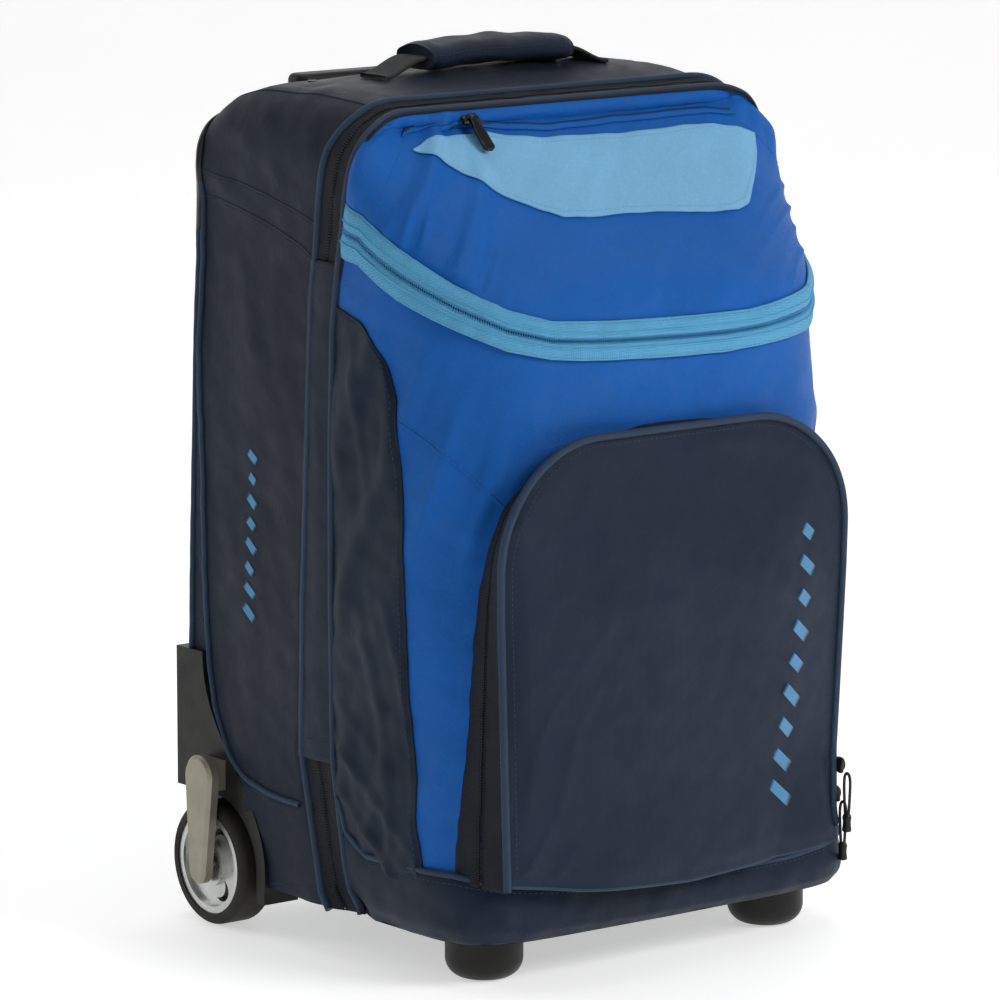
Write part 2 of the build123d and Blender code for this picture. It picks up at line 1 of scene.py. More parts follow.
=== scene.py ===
import bpy, math
import numpy as np
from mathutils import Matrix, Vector


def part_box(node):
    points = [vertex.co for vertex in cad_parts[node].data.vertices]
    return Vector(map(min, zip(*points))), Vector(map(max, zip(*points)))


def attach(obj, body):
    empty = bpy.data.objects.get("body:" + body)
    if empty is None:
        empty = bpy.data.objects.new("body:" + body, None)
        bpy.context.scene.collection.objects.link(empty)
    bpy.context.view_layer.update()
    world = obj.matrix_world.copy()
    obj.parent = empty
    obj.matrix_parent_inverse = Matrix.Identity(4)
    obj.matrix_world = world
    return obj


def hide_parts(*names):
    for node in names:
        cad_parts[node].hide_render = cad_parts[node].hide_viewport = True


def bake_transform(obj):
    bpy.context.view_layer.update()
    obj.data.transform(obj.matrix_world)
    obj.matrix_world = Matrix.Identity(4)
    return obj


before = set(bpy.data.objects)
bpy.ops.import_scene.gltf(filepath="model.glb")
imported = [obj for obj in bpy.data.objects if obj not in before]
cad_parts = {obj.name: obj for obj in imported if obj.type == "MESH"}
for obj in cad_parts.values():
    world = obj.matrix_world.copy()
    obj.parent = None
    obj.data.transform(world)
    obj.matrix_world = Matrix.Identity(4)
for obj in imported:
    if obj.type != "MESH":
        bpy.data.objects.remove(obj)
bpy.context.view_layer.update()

MM = 0.001
CENTRE = np.array([0.0, 10.0, 250.0])
scene = bpy.context.scene


# ---- camera

def aim(obj, position, back):
    back = Vector(back).normalized()
    right = Vector((0, 0, 1)).cross(back).normalized()
    up = back.cross(right)
    m = obj.matrix_world.to_3x3()
    for i in range(3):
        m[i][0], m[i][1], m[i][2] = right[i], up[i], back[i]
    obj.matrix_world = m.to_4x4()
    obj.location = position


lens = bpy.data.cameras.new("camera")
lens.lens, lens.sensor_width, lens.clip_end = 219.9, 36, 60
camera = bpy.data.objects.new("camera", lens)
scene.collection.objects.link(camera)
aim(camera, (-2.23421, -2.82235, 0.89124), (-0.6064, -0.7761, 0.1732))
scene.camera = camera


# ---- materials

class Nodes:
    def __init__(self, name):
        self.mat = bpy.data.materials.new(name)
        self.mat.use_nodes = True
        self.tree = self.mat.node_tree
        self.bsdf = self.tree.nodes["Principled BSDF"]
        coord = self.tree.nodes.new("ShaderNodeTexCoord")
        self.place = coord.outputs["Object"]

    def put(self, target, value):
        if isinstance(value, bpy.types.NodeSocket):
            self.tree.links.new(value, target)
        else:
            target.default_value = value

    def to(self, socket, value):
        self.put(self.bsdf.inputs[socket], value)

    def add(self, kind, links=(), **settings):
        node = self.tree.nodes.new(kind)
        for key, value in settings.items():
            setattr(node, key, value)
        for socket, value in dict(links).items():
            self.put(node.inputs[socket], value)
        return node

    def noise(self, scale, detail=3.0, rough=0.55):
        return self.add("ShaderNodeTexNoise", {"Vector": self.place, "Scale": scale,
                                               "Detail": detail, "Roughness": rough}).outputs["Fac"]

    def remap(self, value, low, high, a=0.3, b=0.7):
        return self.add("ShaderNodeMapRange", {"Value": value, "From Min": a, "From Max": b,
                                               "To Min": low, "To Max": high}).outputs["Result"]

    def mix(self, factor, a, b):
        node = self.add("ShaderNodeMix", {"Factor": factor}, data_type="RGBA")
        for socket, value in (("A", a), ("B", b)):
            self.put(node.inputs[socket], value if isinstance(value, bpy.types.NodeSocket) else (*value, 1))
        return node.outputs["Result"]

    def math(self, operation, a, b=0.0):
        return self.add("ShaderNodeMath", {0: a, 1: b}, operation=operation).outputs[0]

    def bump(self, height, strength, distance, normal=None):
        node = self.add("ShaderNodeBump", {"Height": height, "Strength": strength, "Distance": distance})
        if normal is not None:
            self.tree.links.new(normal, node.inputs["Normal"])
        return node.outputs["Normal"]


def tone(color, factor):
    return tuple(min(1.0, c * factor) for c in color)


def cloth(name, color, period=0.85, rough=(0.5, 0.68), weave=0.5, crinkle=0.32, sheen=0.03, spread=0.16):
    n = Nodes(name)
    axes = n.add("ShaderNodeSeparateXYZ", {0: n.place}).outputs
    along = n.math("ADD", n.math("ABSOLUTE", axes["X"]), axes["Y"])
    across = n.add("ShaderNodeVectorMath", {0: n.place, 1: (0, 0.35, 1)}, operation="DOT_PRODUCT").outputs["Value"]
    threads = n.add("ShaderNodeCombineXYZ", {"X": along, "Z": across}).outputs[0]
    scale = math.tau / (20 * period * MM)
    warp, weft = (n.add("ShaderNodeTexWave", {"Vector": threads, "Scale": scale, "Distortion": 0.6, "Detail": 1.0},
                        bands_direction=axis).outputs["Fac"] for axis in "XZ")
    height = n.math("MAXIMUM", warp, weft)
    shade = n.mix(n.remap(n.noise(14, 4), 0, 1, 0.25, 0.75), tone(color, 1 - spread), tone(color, 1 + spread))
    shade = n.mix(n.remap(n.noise(420, 2), 0, 0.14, 0.45, 0.75), shade, tone(color, 1.7))
    # painted shade: the base colour darkens in the low places of the weave, where the gaps between threads lie in shade
    shade = n.mix(n.remap(height, 0.22, 0, 0.2, 0.9), shade, tone(color, 0.45))
    n.to("Base Color", shade)
    n.to("Roughness", n.remap(n.noise(55, 3), *rough))
    n.to("Sheen Weight", sheen)
    n.to("Sheen Roughness", 0.45)
    n.to("Specular IOR Level", 0.22)
    fine = n.bump(n.noise(160, 4, 0.6), crinkle, 0.0012)
    n.to("Normal", n.bump(height, weave, 0.0004, fine))
    return n.mat


def webbing(name, color, period=2.2, rough=0.75):
    n = Nodes(name)
    along = n.add("ShaderNodeVectorMath", {0: n.place, 1: (1, 1, 1)}, operation="DOT_PRODUCT").outputs["Value"]
    threads = n.add("ShaderNodeCombineXYZ", {"X": along}).outputs[0]
    rib = n.add("ShaderNodeTexWave", {"Vector": threads, "Scale": math.tau / (20 * period * MM), "Distortion": 0.4},
                bands_direction="X").outputs["Fac"]
    shade = n.mix(n.remap(n.noise(300, 3), 0, 1), tone(color, 0.7), tone(color, 1.5))
    n.to("Base Color", shade)
    n.to("Roughness", n.remap(n.noise(90), rough - 0.08, rough + 0.1))
    n.to("Sheen Weight", 0.03)
    n.to("Normal", n.bump(rib, 0.6, 0.0005, n.bump(n.noise(700, 2), 0.3, 0.0004)))
    return n.mat


def plastic(name, color, rough=(0.38, 0.52), grain=0.25, size=500, coat=0.0, worn=1.8):
    n = Nodes(name)
    scuff = n.remap(n.noise(26, 5, 0.65), 0, 1, 0.5, 0.75)
    n.to("Base Color", n.mix(n.math("MULTIPLY", scuff, 0.5), color, tone(color, worn)))
    n.to("Roughness", n.remap(n.noise(70, 4), *rough))
    n.to("Specular IOR Level", 0.3)
    n.to("Coat Weight", coat)
    n.to("Coat Roughness", 0.25)
    n.to("Normal", n.bump(n.noise(size, 3), grain, 0.0003))
    return n.mat


def metal(name, color, rough=(0.22, 0.34), satin=0.0):
    n = Nodes(name)
    n.to("Base Color", n.mix(n.remap(n.noise(60, 4), 0, 1), tone(color, 0.88), tone(color, 1.08)))
    n.to("Metallic", 1.0 - satin)
    n.to("Roughness", n.remap(n.noise(180, 4), *rough))
    n.to("Normal", n.bump(n.noise(900, 2), 0.06, 0.0002))
    return n.mat


NAVY = cloth("navy_cloth", (0.0042, 0.0125, 0.031), rough=(0.42, 0.6), spread=0.22)
# painted shade: a darker copy of the navy cloth, for the rear half's wrap and back, standing in for the shade on them
NAVY_PAINTED_SHADE = cloth("navy_side_cloth", (0.0028, 0.0092, 0.024), rough=(0.4, 0.58), spread=0.2)
# painted light: a lighter copy of the navy cloth, for the front pocket's face, standing in for the key light falling on
# it
NAVY_PAINTED_LIGHT = cloth("navy_pocket_cloth", (0.0062, 0.0158, 0.038), rough=(0.46, 0.62), spread=0.2)
ROYAL = cloth("royal_cloth", (0.0003, 0.105, 0.43), period=0.75, rough=(0.4, 0.56), sheen=0.02, spread=0.12)
SKY = cloth("sky_cloth", (0.19, 0.46, 0.72), period=0.8, rough=(0.5, 0.65), spread=0.07)
BAND = cloth("band_cloth", (0.095, 0.36, 0.6), period=1.7, rough=(0.5, 0.66), spread=0.08, weave=0.8)
BLACK_CLOTH = cloth("black_zip_cloth", (0.0065, 0.010, 0.016), period=1.8, rough=(0.6, 0.75), spread=0.2, weave=0.8)
LINING = cloth("lining_cloth", (0.035, 0.04, 0.05), period=2.0, rough=(0.6, 0.75))
# painted highlight: the piping is lighter than the navy cloth, partly its own tone and partly a painted highlight along
# the rounded cord
PIPING = cloth("piping_cloth", (0.022, 0.045, 0.085), period=1.0, rough=(0.45, 0.6))
BLACK_WEB = webbing("black_webbing", (0.009, 0.010, 0.012))
THREAD = cloth("thread", (0.03, 0.055, 0.10), period=0.5, rough=(0.45, 0.6))
THREAD_BLUE = cloth("thread_blue", (0.01, 0.16, 0.5), period=0.5, rough=(0.45, 0.6))
THREAD_SKY = cloth("thread_sky", (0.10, 0.34, 0.62), period=0.5, rough=(0.4, 0.55), sheen=0.4)
COIL = plastic("zip_coil", (0.012, 0.013, 0.016), rough=(0.28, 0.4), grain=0.1)
COIL_BLUE = plastic("zip_coil_blue", (0.05, 0.26, 0.5), rough=(0.3, 0.42), grain=0.1, worn=1.2)
BLACK = plastic("black_plastic", (0.006, 0.006, 0.005))
GLOSS = plastic("gloss_black", (0.005, 0.005, 0.005), rough=(0.24, 0.34), grain=0.05, coat=0.15)
TYRE = plastic("tyre_rubber", (0.013, 0.012, 0.010), rough=(0.6, 0.78), grain=0.5, size=260, worn=2.6)
ARM = metal("arm_paint", (0.30, 0.28, 0.22), rough=(0.34, 0.46), satin=0.45)
RIM_PAINT = metal("rim_silver", (0.52, 0.53, 0.52), rough=(0.24, 0.36), satin=0.2)
STEEL = metal("steel", (0.55, 0.55, 0.56))
ALLOY = metal("tube_alloy", (0.42, 0.43, 0.45), rough=(0.26, 0.38))
ZIP_METAL = metal("zip_metal", (0.035, 0.035, 0.038), rough=(0.25, 0.4), satin=0.3)
BOARD = plastic("board", (0.02, 0.02, 0.022), rough=(0.5, 0.7), grain=0.4, size=300)
CORD = webbing("pull_cord", (0.010, 0.010, 0.011), period=1.1, rough=0.6)
KNOB = plastic("pull_plastic", (0.010, 0.010, 0.010), rough=(0.25, 0.4))

# The material slot that a piece fills, by the name of its material.
SLOTS = {material: slot for slot, materials in {
    "navy_fabric": "navy_cloth navy_side_cloth navy_pocket_cloth thread",
    "royal_fabric": "royal_cloth thread_blue",
    "sky_fabric": "sky_cloth band_cloth thread_sky zip_coil_blue",
    "black_webbing": "black_zip_cloth black_webbing",
    "piping_cloth": "piping_cloth",
    "zip_metal": "zip_coil zip_metal",
    "gloss_black": "gloss_black",
    "pull_plastic": "pull_plastic",
}.items() for material in materials.split()}

# The plain CAD node that each finished piece stands for.
REPLACED = {
    "shell_wrap": "main_shell", "main_zip_rear_tape": "rear_zip_tape", "shell_edge_piping": "rear_piping",
    "lid_royal_panel": "lid_shell", "main_zip_front_tape": "front_zip_tape", "lid_edge_piping": "lid_piping",
    "lid_base_skirt": "base_skirt", "zip_band_lower": "band_lower_tape",
    "pocket_gusset_inner": "pocket_base_gusset", "hood_panel": "flap_shell", "zip_band_upper": "band_upper_tape",
    "patch_panel_cloth": "patch_panel", "pocket_face_panel": "pocket_flap_panel",
    "pocket_gusset_outer": "pocket_flap_gusset", "pocket_piping_cord": "pocket_piping",
    "hinge_cover_cloth": "hinge_cover_rear hinge_cover_front", "corner_guard_band_left": "corner_guard_left",
    "corner_guard_band_right": "corner_guard_right", "carry_handle_sleeve": "carry_pad",
    "carry_strap_left": "carry_strap", "roof_zip_slider": "roof_slider", "roof_zip_pull": "roof_pull",
    "band_zip_slider": "band_slider", "main_zip_slider": "main_slider",
    "pocket_slider_upper_body": "pocket_slider_upper", "pocket_slider_lower_body": "pocket_slider_lower",
    "pocket_pull_end_upper": "pull_end_upper", "pocket_pull_end_lower": "pull_end_lower",
}


# ---- mesh helpers, all in mm until the mesh is made

def smooth(t):
    t = np.clip(t, 0, 1)
    return t * t * (3 - 2 * t)


def make(name, points, faces, material, body=None, slot=None, inside=None, thick=0):
    mesh = bpy.data.meshes.new(name)
    mesh.from_pydata((np.asarray(points, float).reshape(-1, 3) * MM).tolist(), [], [list(map(int, f)) for f in faces])
    mesh.update()
    obj = bpy.data.objects.new(name, mesh)
    scene.collection.objects.link(obj)
    mesh.materials.append(material)
    mesh.polygons.foreach_set("use_smooth", [True] * len(mesh.polygons))
    if thick:
        mesh.materials.append(inside or LINING)
        m = obj.modifiers.new("thickness", "SOLIDIFY")
        m.thickness, m.offset = thick * MM, -1
        m.material_offset, m.material_offset_rim = 1, 0
    if body:
        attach(obj, body)
    slot = slot or SLOTS.get(material.name.split(".")[0])
    if name in REPLACED:
        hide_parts(*REPLACED[name].split())
    return obj


def xyz(x, y, z):
    return np.stack(np.broadcast_arrays(x, y, z), -1)


def faces_of(na, nb, wrap_b=False, keep=None, flip=False):
    i = np.arange(na - 1)
    j = np.arange(nb if wrap_b else nb - 1)
    I, J = np.meshgrid(i, j, indexing="ij")
    I2, J2 = I + 1, (J + 1) % nb
    quads = np.stack([I * nb + J, I2 * nb + J, I2 * nb + J2, I * nb + J2], -1)
    if flip:
        quads = quads[..., ::-1]
    return quads[keep] if keep is not None else quads.reshape(-1, 4)


def unit(v):
    return v / np.maximum(np.linalg.norm(v, axis=-1, keepdims=True), 1e-9)


class Skin:
    """A patch of cloth: base(a, b) with a and b from 0 to 1, raised along its outward normal."""

    def __init__(self, base, offset=None, centre=CENTRE, step=0.006):
        self.base, self.offset, self.centre, self.step = base, offset, centre, step
        half, self.sign = np.array([0.5]), 1.0
        if (self.across(base, half, half) * (base(half, half) - centre)).sum() <= 0:
            self.sign = -1.0

    def across(self, surface, a, b):
        h = self.step
        da = surface(np.minimum(a + h, 1), b) - surface(np.maximum(a - h, 0), b)
        db = surface(a, np.minimum(b + h, 1)) - surface(a, np.maximum(b - h, 0))
        return unit(np.cross(da, db)) * self.sign

    def at(self, a, b, lift=0.0):
        a, b = np.broadcast_arrays(np.asarray(a, float), np.asarray(b, float))
        p = self.base(a, b)
        d = lift + (self.offset(a, b, *np.moveaxis(p, -1, 0)) if self.offset else 0)
        return p + self.across(self.base, a, b) * (d[..., None] if isinstance(d, np.ndarray) else d)

    def normal(self, a, b):
        return self.across(self.at, *np.broadcast_arrays(np.asarray(a, float), np.asarray(b, float)))

    def mesh(self, name, na, nb, material, body, slot=None, thick=1.0, inside=None, keep=None, la=None, lb=None):
        a = np.linspace(0, 1, na) if la is None else la
        b = np.linspace(0, 1, nb) if lb is None else lb
        P = self.at(*np.meshgrid(a, b, indexing="ij"))
        mask = None if keep is None else keep((P[:-1, :-1] + P[1:, 1:]) / 2)
        faces = faces_of(len(a), len(b), keep=mask, flip=self.sign < 0)
        return make(name, P, faces, material, body, slot, inside, thick)


def hills(seed, low, high, count=9):
    rng = np.random.default_rng(seed)
    wave = rng.uniform(low, high, count)
    angle = rng.uniform(0, math.tau, count)
    phase = rng.uniform(0, math.tau, count)
    def f(x, y):
        total = 0
        for k in range(count):
            w = math.tau / wave[k]
            total = total + np.sin(w * (x * math.cos(angle[k]) + y * math.sin(angle[k])) + phase[k])
        return total / math.sqrt(count)
    return f


def folds(seed, angle, period, warp=0.32, sharp=2.6):
    """Long soft creases at an angle (degrees from the x axis), 0 to 1."""
    bend, fade = hills(seed, period * 5, period * 11, 5), hills(seed + 50, period * 2.5, period * 8, 5)
    c, s = math.cos(math.radians(angle)), math.sin(math.radians(angle))
    def f(x, y):
        t = (x * -s + y * c) / period + warp * bend(x, y)
        ridge = (0.5 + 0.5 * np.cos(math.tau * t)) ** sharp
        return ridge * smooth(0.35 + 0.55 * fade(x, y))
    return f


def length_along(path):
    return np.concatenate([[0], np.cumsum(np.linalg.norm(np.diff(path, axis=0), axis=1))])


def pick(s, table, q):
    """Each column of a table, read at the places q along s."""
    return np.stack([np.interp(q, s, column) for column in table.T], -1)


def tube(name, path, radius, material, body, sides=8):
    n = len(path)
    tangent = unit(np.gradient(path, axis=0))
    side = np.cross(tangent[0], [0.31, 0.17, 0.93])
    side /= np.linalg.norm(side)
    frames = []
    for t in tangent:
        side = side - t * side.dot(t)
        side /= np.linalg.norm(side)
        frames.append((side, np.cross(t, side)))
    angle = np.arange(sides) / sides * math.tau
    return loft(name, [point + radius * (np.outer(np.cos(angle), s) + np.outer(np.sin(angle), t))
                       for point, (s, t) in zip(path, frames)], material, body)


def loft(name, rings, material, body):
    """Rings of points joined along their length, with both ends closed."""
    n, m = np.shape(rings)[:2]
    faces = faces_of(n, m, wrap_b=True).tolist()
    faces += [list(range(m))[::-1], list(range((n - 1) * m, n * m))]
    return make(name, rings, faces, material, body)


def beads(name, path, normal, step, size, material, body, slot=None, across=False, shift=0.0, lift=0.0):
    """A row of small rounded dashes along a path: stitches, or zip teeth when across."""
    s = length_along(path)
    count = max(1, int(s[-1] / step))
    q = (np.arange(count) + 0.5) * s[-1] / count
    P, N = pick(s, path, q), unit(pick(s, normal, q))
    T = unit(np.gradient(P, axis=0)) if count > 1 else unit(path[-1:] - path[:1])
    S = unit(np.cross(N, T))
    if across:
        T, S = S, -T
    P = P + S * (0 if across else shift) + (T * shift if across else 0) + N * lift
    points = P[:, None] + sum(BEAD[None, :, i:i + 1] * axis[:, None] * size[i] for i, axis in enumerate((T, S, N)))
    faces = [[i * len(BEAD) + k for k in face] for i in range(count) for face in BEAD_FACES]
    return make(name, points, faces, material, body, slot)


BEAD_SIDES = 6
turns = [math.tau * k / BEAD_SIDES for k in range(BEAD_SIDES)]
BEAD = np.array([(-0.5, 0, 0)] + [(x, 0.4 * math.cos(t), 0.4 * math.sin(t)) for x in (-0.3, 0.3) for t in turns]
                + [(0.5, 0, 0)])
BEAD_FACES = []
for k in range(BEAD_SIDES):
    here, after = 1 + k, 1 + (k + 1) % BEAD_SIDES
    BEAD_FACES += [(0, after, here), (here, after, after + BEAD_SIDES, here + BEAD_SIDES),
                   (len(BEAD) - 1, here + BEAD_SIDES, after + BEAD_SIDES)]


def along(skin, a, b):
    return skin.at(a, b), skin.normal(a, b)


def sew(name, skin, a, b, *stitch, **settings):
    return beads(name, *along(skin, a, b), *stitch, **settings)


def steps(*runs):
    """Several runs of even steps in one row, each as (start, end, count)."""
    return np.concatenate([np.linspace(*run) for run in runs])


def curve(pairs):
    xs, ys = zip(*pairs)
    return lambda t: np.interp(t, xs, ys)


# ---- the front half's surface

HALF_WIDTH, LID_REAR, CORNER = 154.0, -9.0, 45.0
LEVELS, STEPS = np.linspace(20, 500, 193), np.linspace(-1, 1, 241)
RIM_FRONT = curve([(30, -17), (36, -16), (43, -10), (123, -1), (216, -1), (305, -2), (375, -4), (417, -10),
                   (435, -14), (452, -16), (464, -19), (482, -22), (494, -24), (500, -21)])
RIM_REAR = curve([(30, 3), (39, 10), (118, 28), (212, 25.5), (332, 19), (390, 16), (420, 12), (450, 9), (479, 4),
                  (498, -4), (520, -5)])


def corner_width(z):
    k = np.clip((z - 455) / CORNER, 0, 1)
    low = np.interp(z, [20, 60, 120, 300], [144, 150, 153, HALF_WIDTH])
    return np.where(z > 455, HALF_WIDTH - CORNER + CORNER * (1 - k ** 2.6) ** (1 / 2.6), low)


def bow(z):
    return 10 * np.clip((z - 40) / 60, 0, 1) * np.clip((480 - z) / 60, 0, 1)


def depth_at(z):
    base = np.interp(z, [20, 60, 120], [116, 120, 122])
    return np.maximum(-9 * np.log(np.exp(-base / 9) + np.exp(-1.186 * (500 - z) / 9)), 1.0)


def plan_table():
    power = curve([(30, 8), (70, 6), (200, 4.0), (300, 3.5), (390, 3.3), (450, 3.1), (500, 3.0)])
    phi = np.linspace(-math.pi, 0, 1201)
    X, Y = [], []
    for z in LEVELS:
        w, d, n = float(corner_width(z)), float(depth_at(z)), float(power(z))
        r = ((np.abs(np.cos(phi)) / w) ** n + (np.abs(np.sin(phi)) / d) ** n) ** (-1 / n)
        x, y = r * np.cos(phi), r * np.sin(phi)
        s = np.concatenate([[0], np.cumsum(np.hypot(np.diff(x), np.diff(y)))])
        s = s / s[-1] * 2 - 1
        X.append(np.interp(STEPS, s, x))
        Y.append(np.interp(STEPS, s, y))
    return np.array(X), np.array(Y)


PLAN_X, PLAN_Y = plan_table()


def look_up(T, u, z):
    i = np.clip((z - LEVELS[0]) / (LEVELS[1] - LEVELS[0]), 0, len(LEVELS) - 1.001)
    j = np.clip((u + 1) / (STEPS[1] - STEPS[0]), 0, len(STEPS) - 1.001)
    i0, j0 = i.astype(int), j.astype(int)
    fi, fj = i - i0, j - j0
    return (T[i0, j0] * (1 - fi) * (1 - fj) + T[i0 + 1, j0] * fi * (1 - fj)
            + T[i0, j0 + 1] * (1 - fi) * fj + T[i0 + 1, j0 + 1] * fi * fj)


def lid(u, z):
    u, z = np.broadcast_arrays(np.asarray(u, float), np.asarray(z, float))
    pull = (RIM_FRONT(z) - LID_REAR - bow(z)) * np.maximum(np.abs(u) ** 8, smooth((z - 488) / 12))
    return xyz(look_up(PLAN_X, u, z), LID_REAR + bow(z) + look_up(PLAN_Y, u, z) + pull, z + 0.0)


BAND_TOP = curve([(-1, 451), (-.953, 449), (-.877, 444.5), (-.735, 426), (-.59, 406.5), (-.462, 393), (-.351, 385.7),
                  (-.166, 383), (.089, 381.2), (.267, 380.8), (.373, 383), (.53, 387), (.62, 396), (.735, 414),
                  (.877, 438), (1, 448)])
BAND_BOTTOM = curve([(-1, 420), (-.964, 419.4), (-.875, 417), (-.736, 399), (-.594, 384.5), (-.465, 371.8),
                     (-.354, 365.8), (-.25, 363.3), (0, 360.3), (.17, 359.4), (.365, 361.2), (.515, 363.5),
                     (.62, 372), (.735, 390), (.877, 410), (1, 416)])
SKIRT_TOP = curve([(-1, 98), (-.99, 96), (-.979, 79), (-.89, 68), (-.736, 69), (-.599, 68), (-.495, 62.6),
                   (-.334, 57.3), (-.096, 52), (.15, 50), (.34, 50), (.534, 54), (.7, 62), (.89, 68), (.979, 79),
                   (1, 98)])
SKIRT_LOW = curve([(-1, 33), (-.938, 28), (-.5, 28), (0, 27.5), (.5, 28), (.938, 28), (1, 33)])
FLANK_EDGE = curve([(60, -.685), (91, -.685), (121, -.683), (167, -.702), (225, -.715), (283, -.724), (318, -.733),
                    (341, -.745), (360, -.777), (374, -.821), (383, -.876), (387, -.944), (390, -1)])


def band_mid(u):
    return (BAND_TOP(u) + BAND_BOTTOM(u)) / 2


def between(low, high, u0=-1.0, u1=1.0):
    """Cloth between two height lines of the front half."""
    def base(a, b):
        u = u0 + (u1 - u0) * a
        lo, hi = low(u), high(u)
        return lid(u, lo + (hi - lo) * b)
    return base


def tuck(a, low=0.15):
    """Cloth drops behind the piping at the two rear edges of the front half."""
    return low + (1 - low) * smooth(np.minimum(a, 1 - a) / 0.035)


royal_fold = folds(3, 62, 46)
royal_soft = hills(5, 70, 160)
flank_fold = folds(11, 80, 30)
flank_fold_2 = folds(12, 35, 26)
fine = hills(21, 14, 34, 12)


def royal_offset(a, b, x, y, z):
    calm = 1 - 0.6 * smooth((130 - np.abs(x)) / 60)
    puff = 1.5 * np.sin(math.pi * np.clip(b, 0, 1)) ** 0.5
    seam = smooth(b / 0.03) * smooth((1 - b) / 0.05)
    crease = 0.9 * royal_soft(x - y, z) + 3.2 * royal_fold(x - y, z) * calm + 0.25 * fine(x - y, z)
    return 0.2 + tuck(a) * (crease * seam + puff)


lid_panel = Skin(between(lambda u: SKIRT_TOP(u) - 8, BAND_BOTTOM), royal_offset)
lid_panel.mesh("lid_royal_panel", 300, 180, ROYAL, "lid")


def flank_base(side):
    def base(a, b):
        z = 62 + 328 * b
        edge = FLANK_EDGE(z)
        u = side * (-1 + (edge + 1) * a)
        foot = SKIRT_TOP(u) - 8
        return lid_panel.at((u + 1) / 2, (z - foot) / (BAND_BOTTOM(u) - foot))
    return base


def flank_offset(a, b, x, y, z):
    seam = smooth((1 - a) / 0.06) * smooth(a / 0.04)
    low = smooth((190 - z) / 110)
    wrinkle = (1.6 * flank_fold(y, z) + low * 2.6 * flank_fold_2(y + np.abs(x), z) + 0.8 * royal_soft(y, z)
               + 0.3 * fine(y, z))
    return (0.3 + 0.6 * smooth(a / 0.1)) + 1.2 * np.sin(math.pi * a) ** 0.6 + wrinkle * seam


for name, side in (("left", 1), ("right", -1)):
    skin = Skin(flank_base(side), flank_offset)
    skin.mesh("lid_flank_panel_" + name, 70, 170, NAVY, "lid")
    t = np.linspace(0, 1, 260)
    sew("flank_stitch_" + name, skin, 0.955, t, 3.6, (2.6, 0.7, 0.5), THREAD, "lid")
    tube("flank_edge_" + name, skin.at(1.0, t, -0.4), 0.9, NAVY, "lid", sides=6)


# base skirt with its piping
def skirt_offset(a, b, x, y, z):
    puff = tuck(a, 0.4) * 2.6 + tuck(a) * 2.2 * np.sin(math.pi * np.clip(b, 0, 1)) ** 0.7
    return puff + 0.5 * royal_soft(x - y, z * 2) + 0.35 * fine(x - y, z) - 2.2 * smooth((0.25 - b) / 0.25)


skirt = Skin(between(SKIRT_LOW, SKIRT_TOP), skirt_offset)
skirt.mesh("lid_base_skirt", 300, 22, NAVY, "lid")
t = np.linspace(0, 1, 400)
tube("base_skirt_piping", skirt.at(t, 1.0, 0.4), 1.9, PIPING, "lid")
sew("base_skirt_stitch", skirt, t, 0.88, 3.6, (2.6, 0.7, 0.5), THREAD, "lid")


def lid_floor(a, b):
    p = lid(-1 + 2 * a, SKIRT_LOW(-1 + 2 * a))
    q = xyz(p[..., 0] * 0.5, -40 + (p[..., 1] + 40) * 0.3, 31)
    return p + (q - p) * b[..., None]


Skin(lid_floor, lambda a, b, x, y, z: 0.5 + 0 * a).mesh("lid_floor_panel", 120, 8, BLACK_CLOTH, "lid")
middle = lid_floor(np.linspace(0, 1, 120), np.ones(120))
make("lid_floor_middle", np.concatenate([middle, middle * [1, 0, 1] + [0, -9, 0]]),
     faces_of(2, 120), BLACK_CLOTH, "lid", thick=1.0)

# diagonal seams from the flank to the pocket
for name, side in (("left", 1), ("right", -1)):
    su = np.interp(np.linspace(0, 1, 80), [0, 0.4, 0.75, 1], [-.733, -.628, -.53, -.45])
    sz = np.interp(np.linspace(0, 1, 80), [0, 0.4, 0.75, 1], [330, 314, 294.3, 276])
    lo, hi = SKIRT_TOP(side * su) - 8, BAND_BOTTOM(side * su)
    a, b = (side * su + 1) / 2, (sz - lo) / (hi - lo)
    path, n = along(lid_panel, a, b)
    tube("diagonal_seam_" + name, path - n * 0.3, 0.8, ROYAL, "lid", sides=6)
    beads("diagonal_stitch_" + name, path, n, 3.4, (2.4, 0.6, 0.4), THREAD_BLUE, "lid", shift=2.2, lift=0.1)


# zip band: lower tape on the lid, upper tape on the top flap
def tape_offset(crown):
    return lambda a, b, x, y, z: (0.6 + tuck(a) * 2.6 + crown * np.sin(math.pi * b) ** 0.8
                                  + 0.35 * fine(x - y, z))


band_low = Skin(between(BAND_BOTTOM, lambda u: band_mid(u) - 0.8), tape_offset(1.0))
band_high = Skin(between(lambda u: band_mid(u) + 0.8, BAND_TOP), tape_offset(1.2))
band_low.mesh("zip_band_lower", 300, 8, BAND, "lid")
band_high.mesh("zip_band_upper", 300, 8, BAND, "upper_flap")
t = np.linspace(0.004, 0.996, 420)
TAPES = (("lower", band_low, "lid"), ("upper", band_high, "upper_flap"))
for (name, skin, body), b in zip(TAPES, (1.0, 0.0)):
    sew("zip_band_coil_" + name, skin, t, b, 1.5, (2.4, 1.1, 1.3), COIL_BLUE, body, across=True, lift=0.1)
for (name, skin, body), stitch, edge, rib in zip(TAPES, (0.10, 0.90), (0.0, 1.0), (0.62, 0.38)):
    sew("zip_band_stitch_" + name, skin, t, stitch, 3.2, (2.3, 0.6, 0.4), THREAD_SKY, body)
    tube("zip_band_edge_" + name, skin.at(t, edge, -0.6), 0.9, BAND, body, sides=6)
    tube("zip_band_rib_" + name, skin.at(t, rib), 0.7, BAND, body, sides=6)


# hood of the top compartment
HOOD_TOP = 499.6
hood_fold = folds(31, 52, 34)
hood_gather = folds(33, 75, 15, warp=0.5)


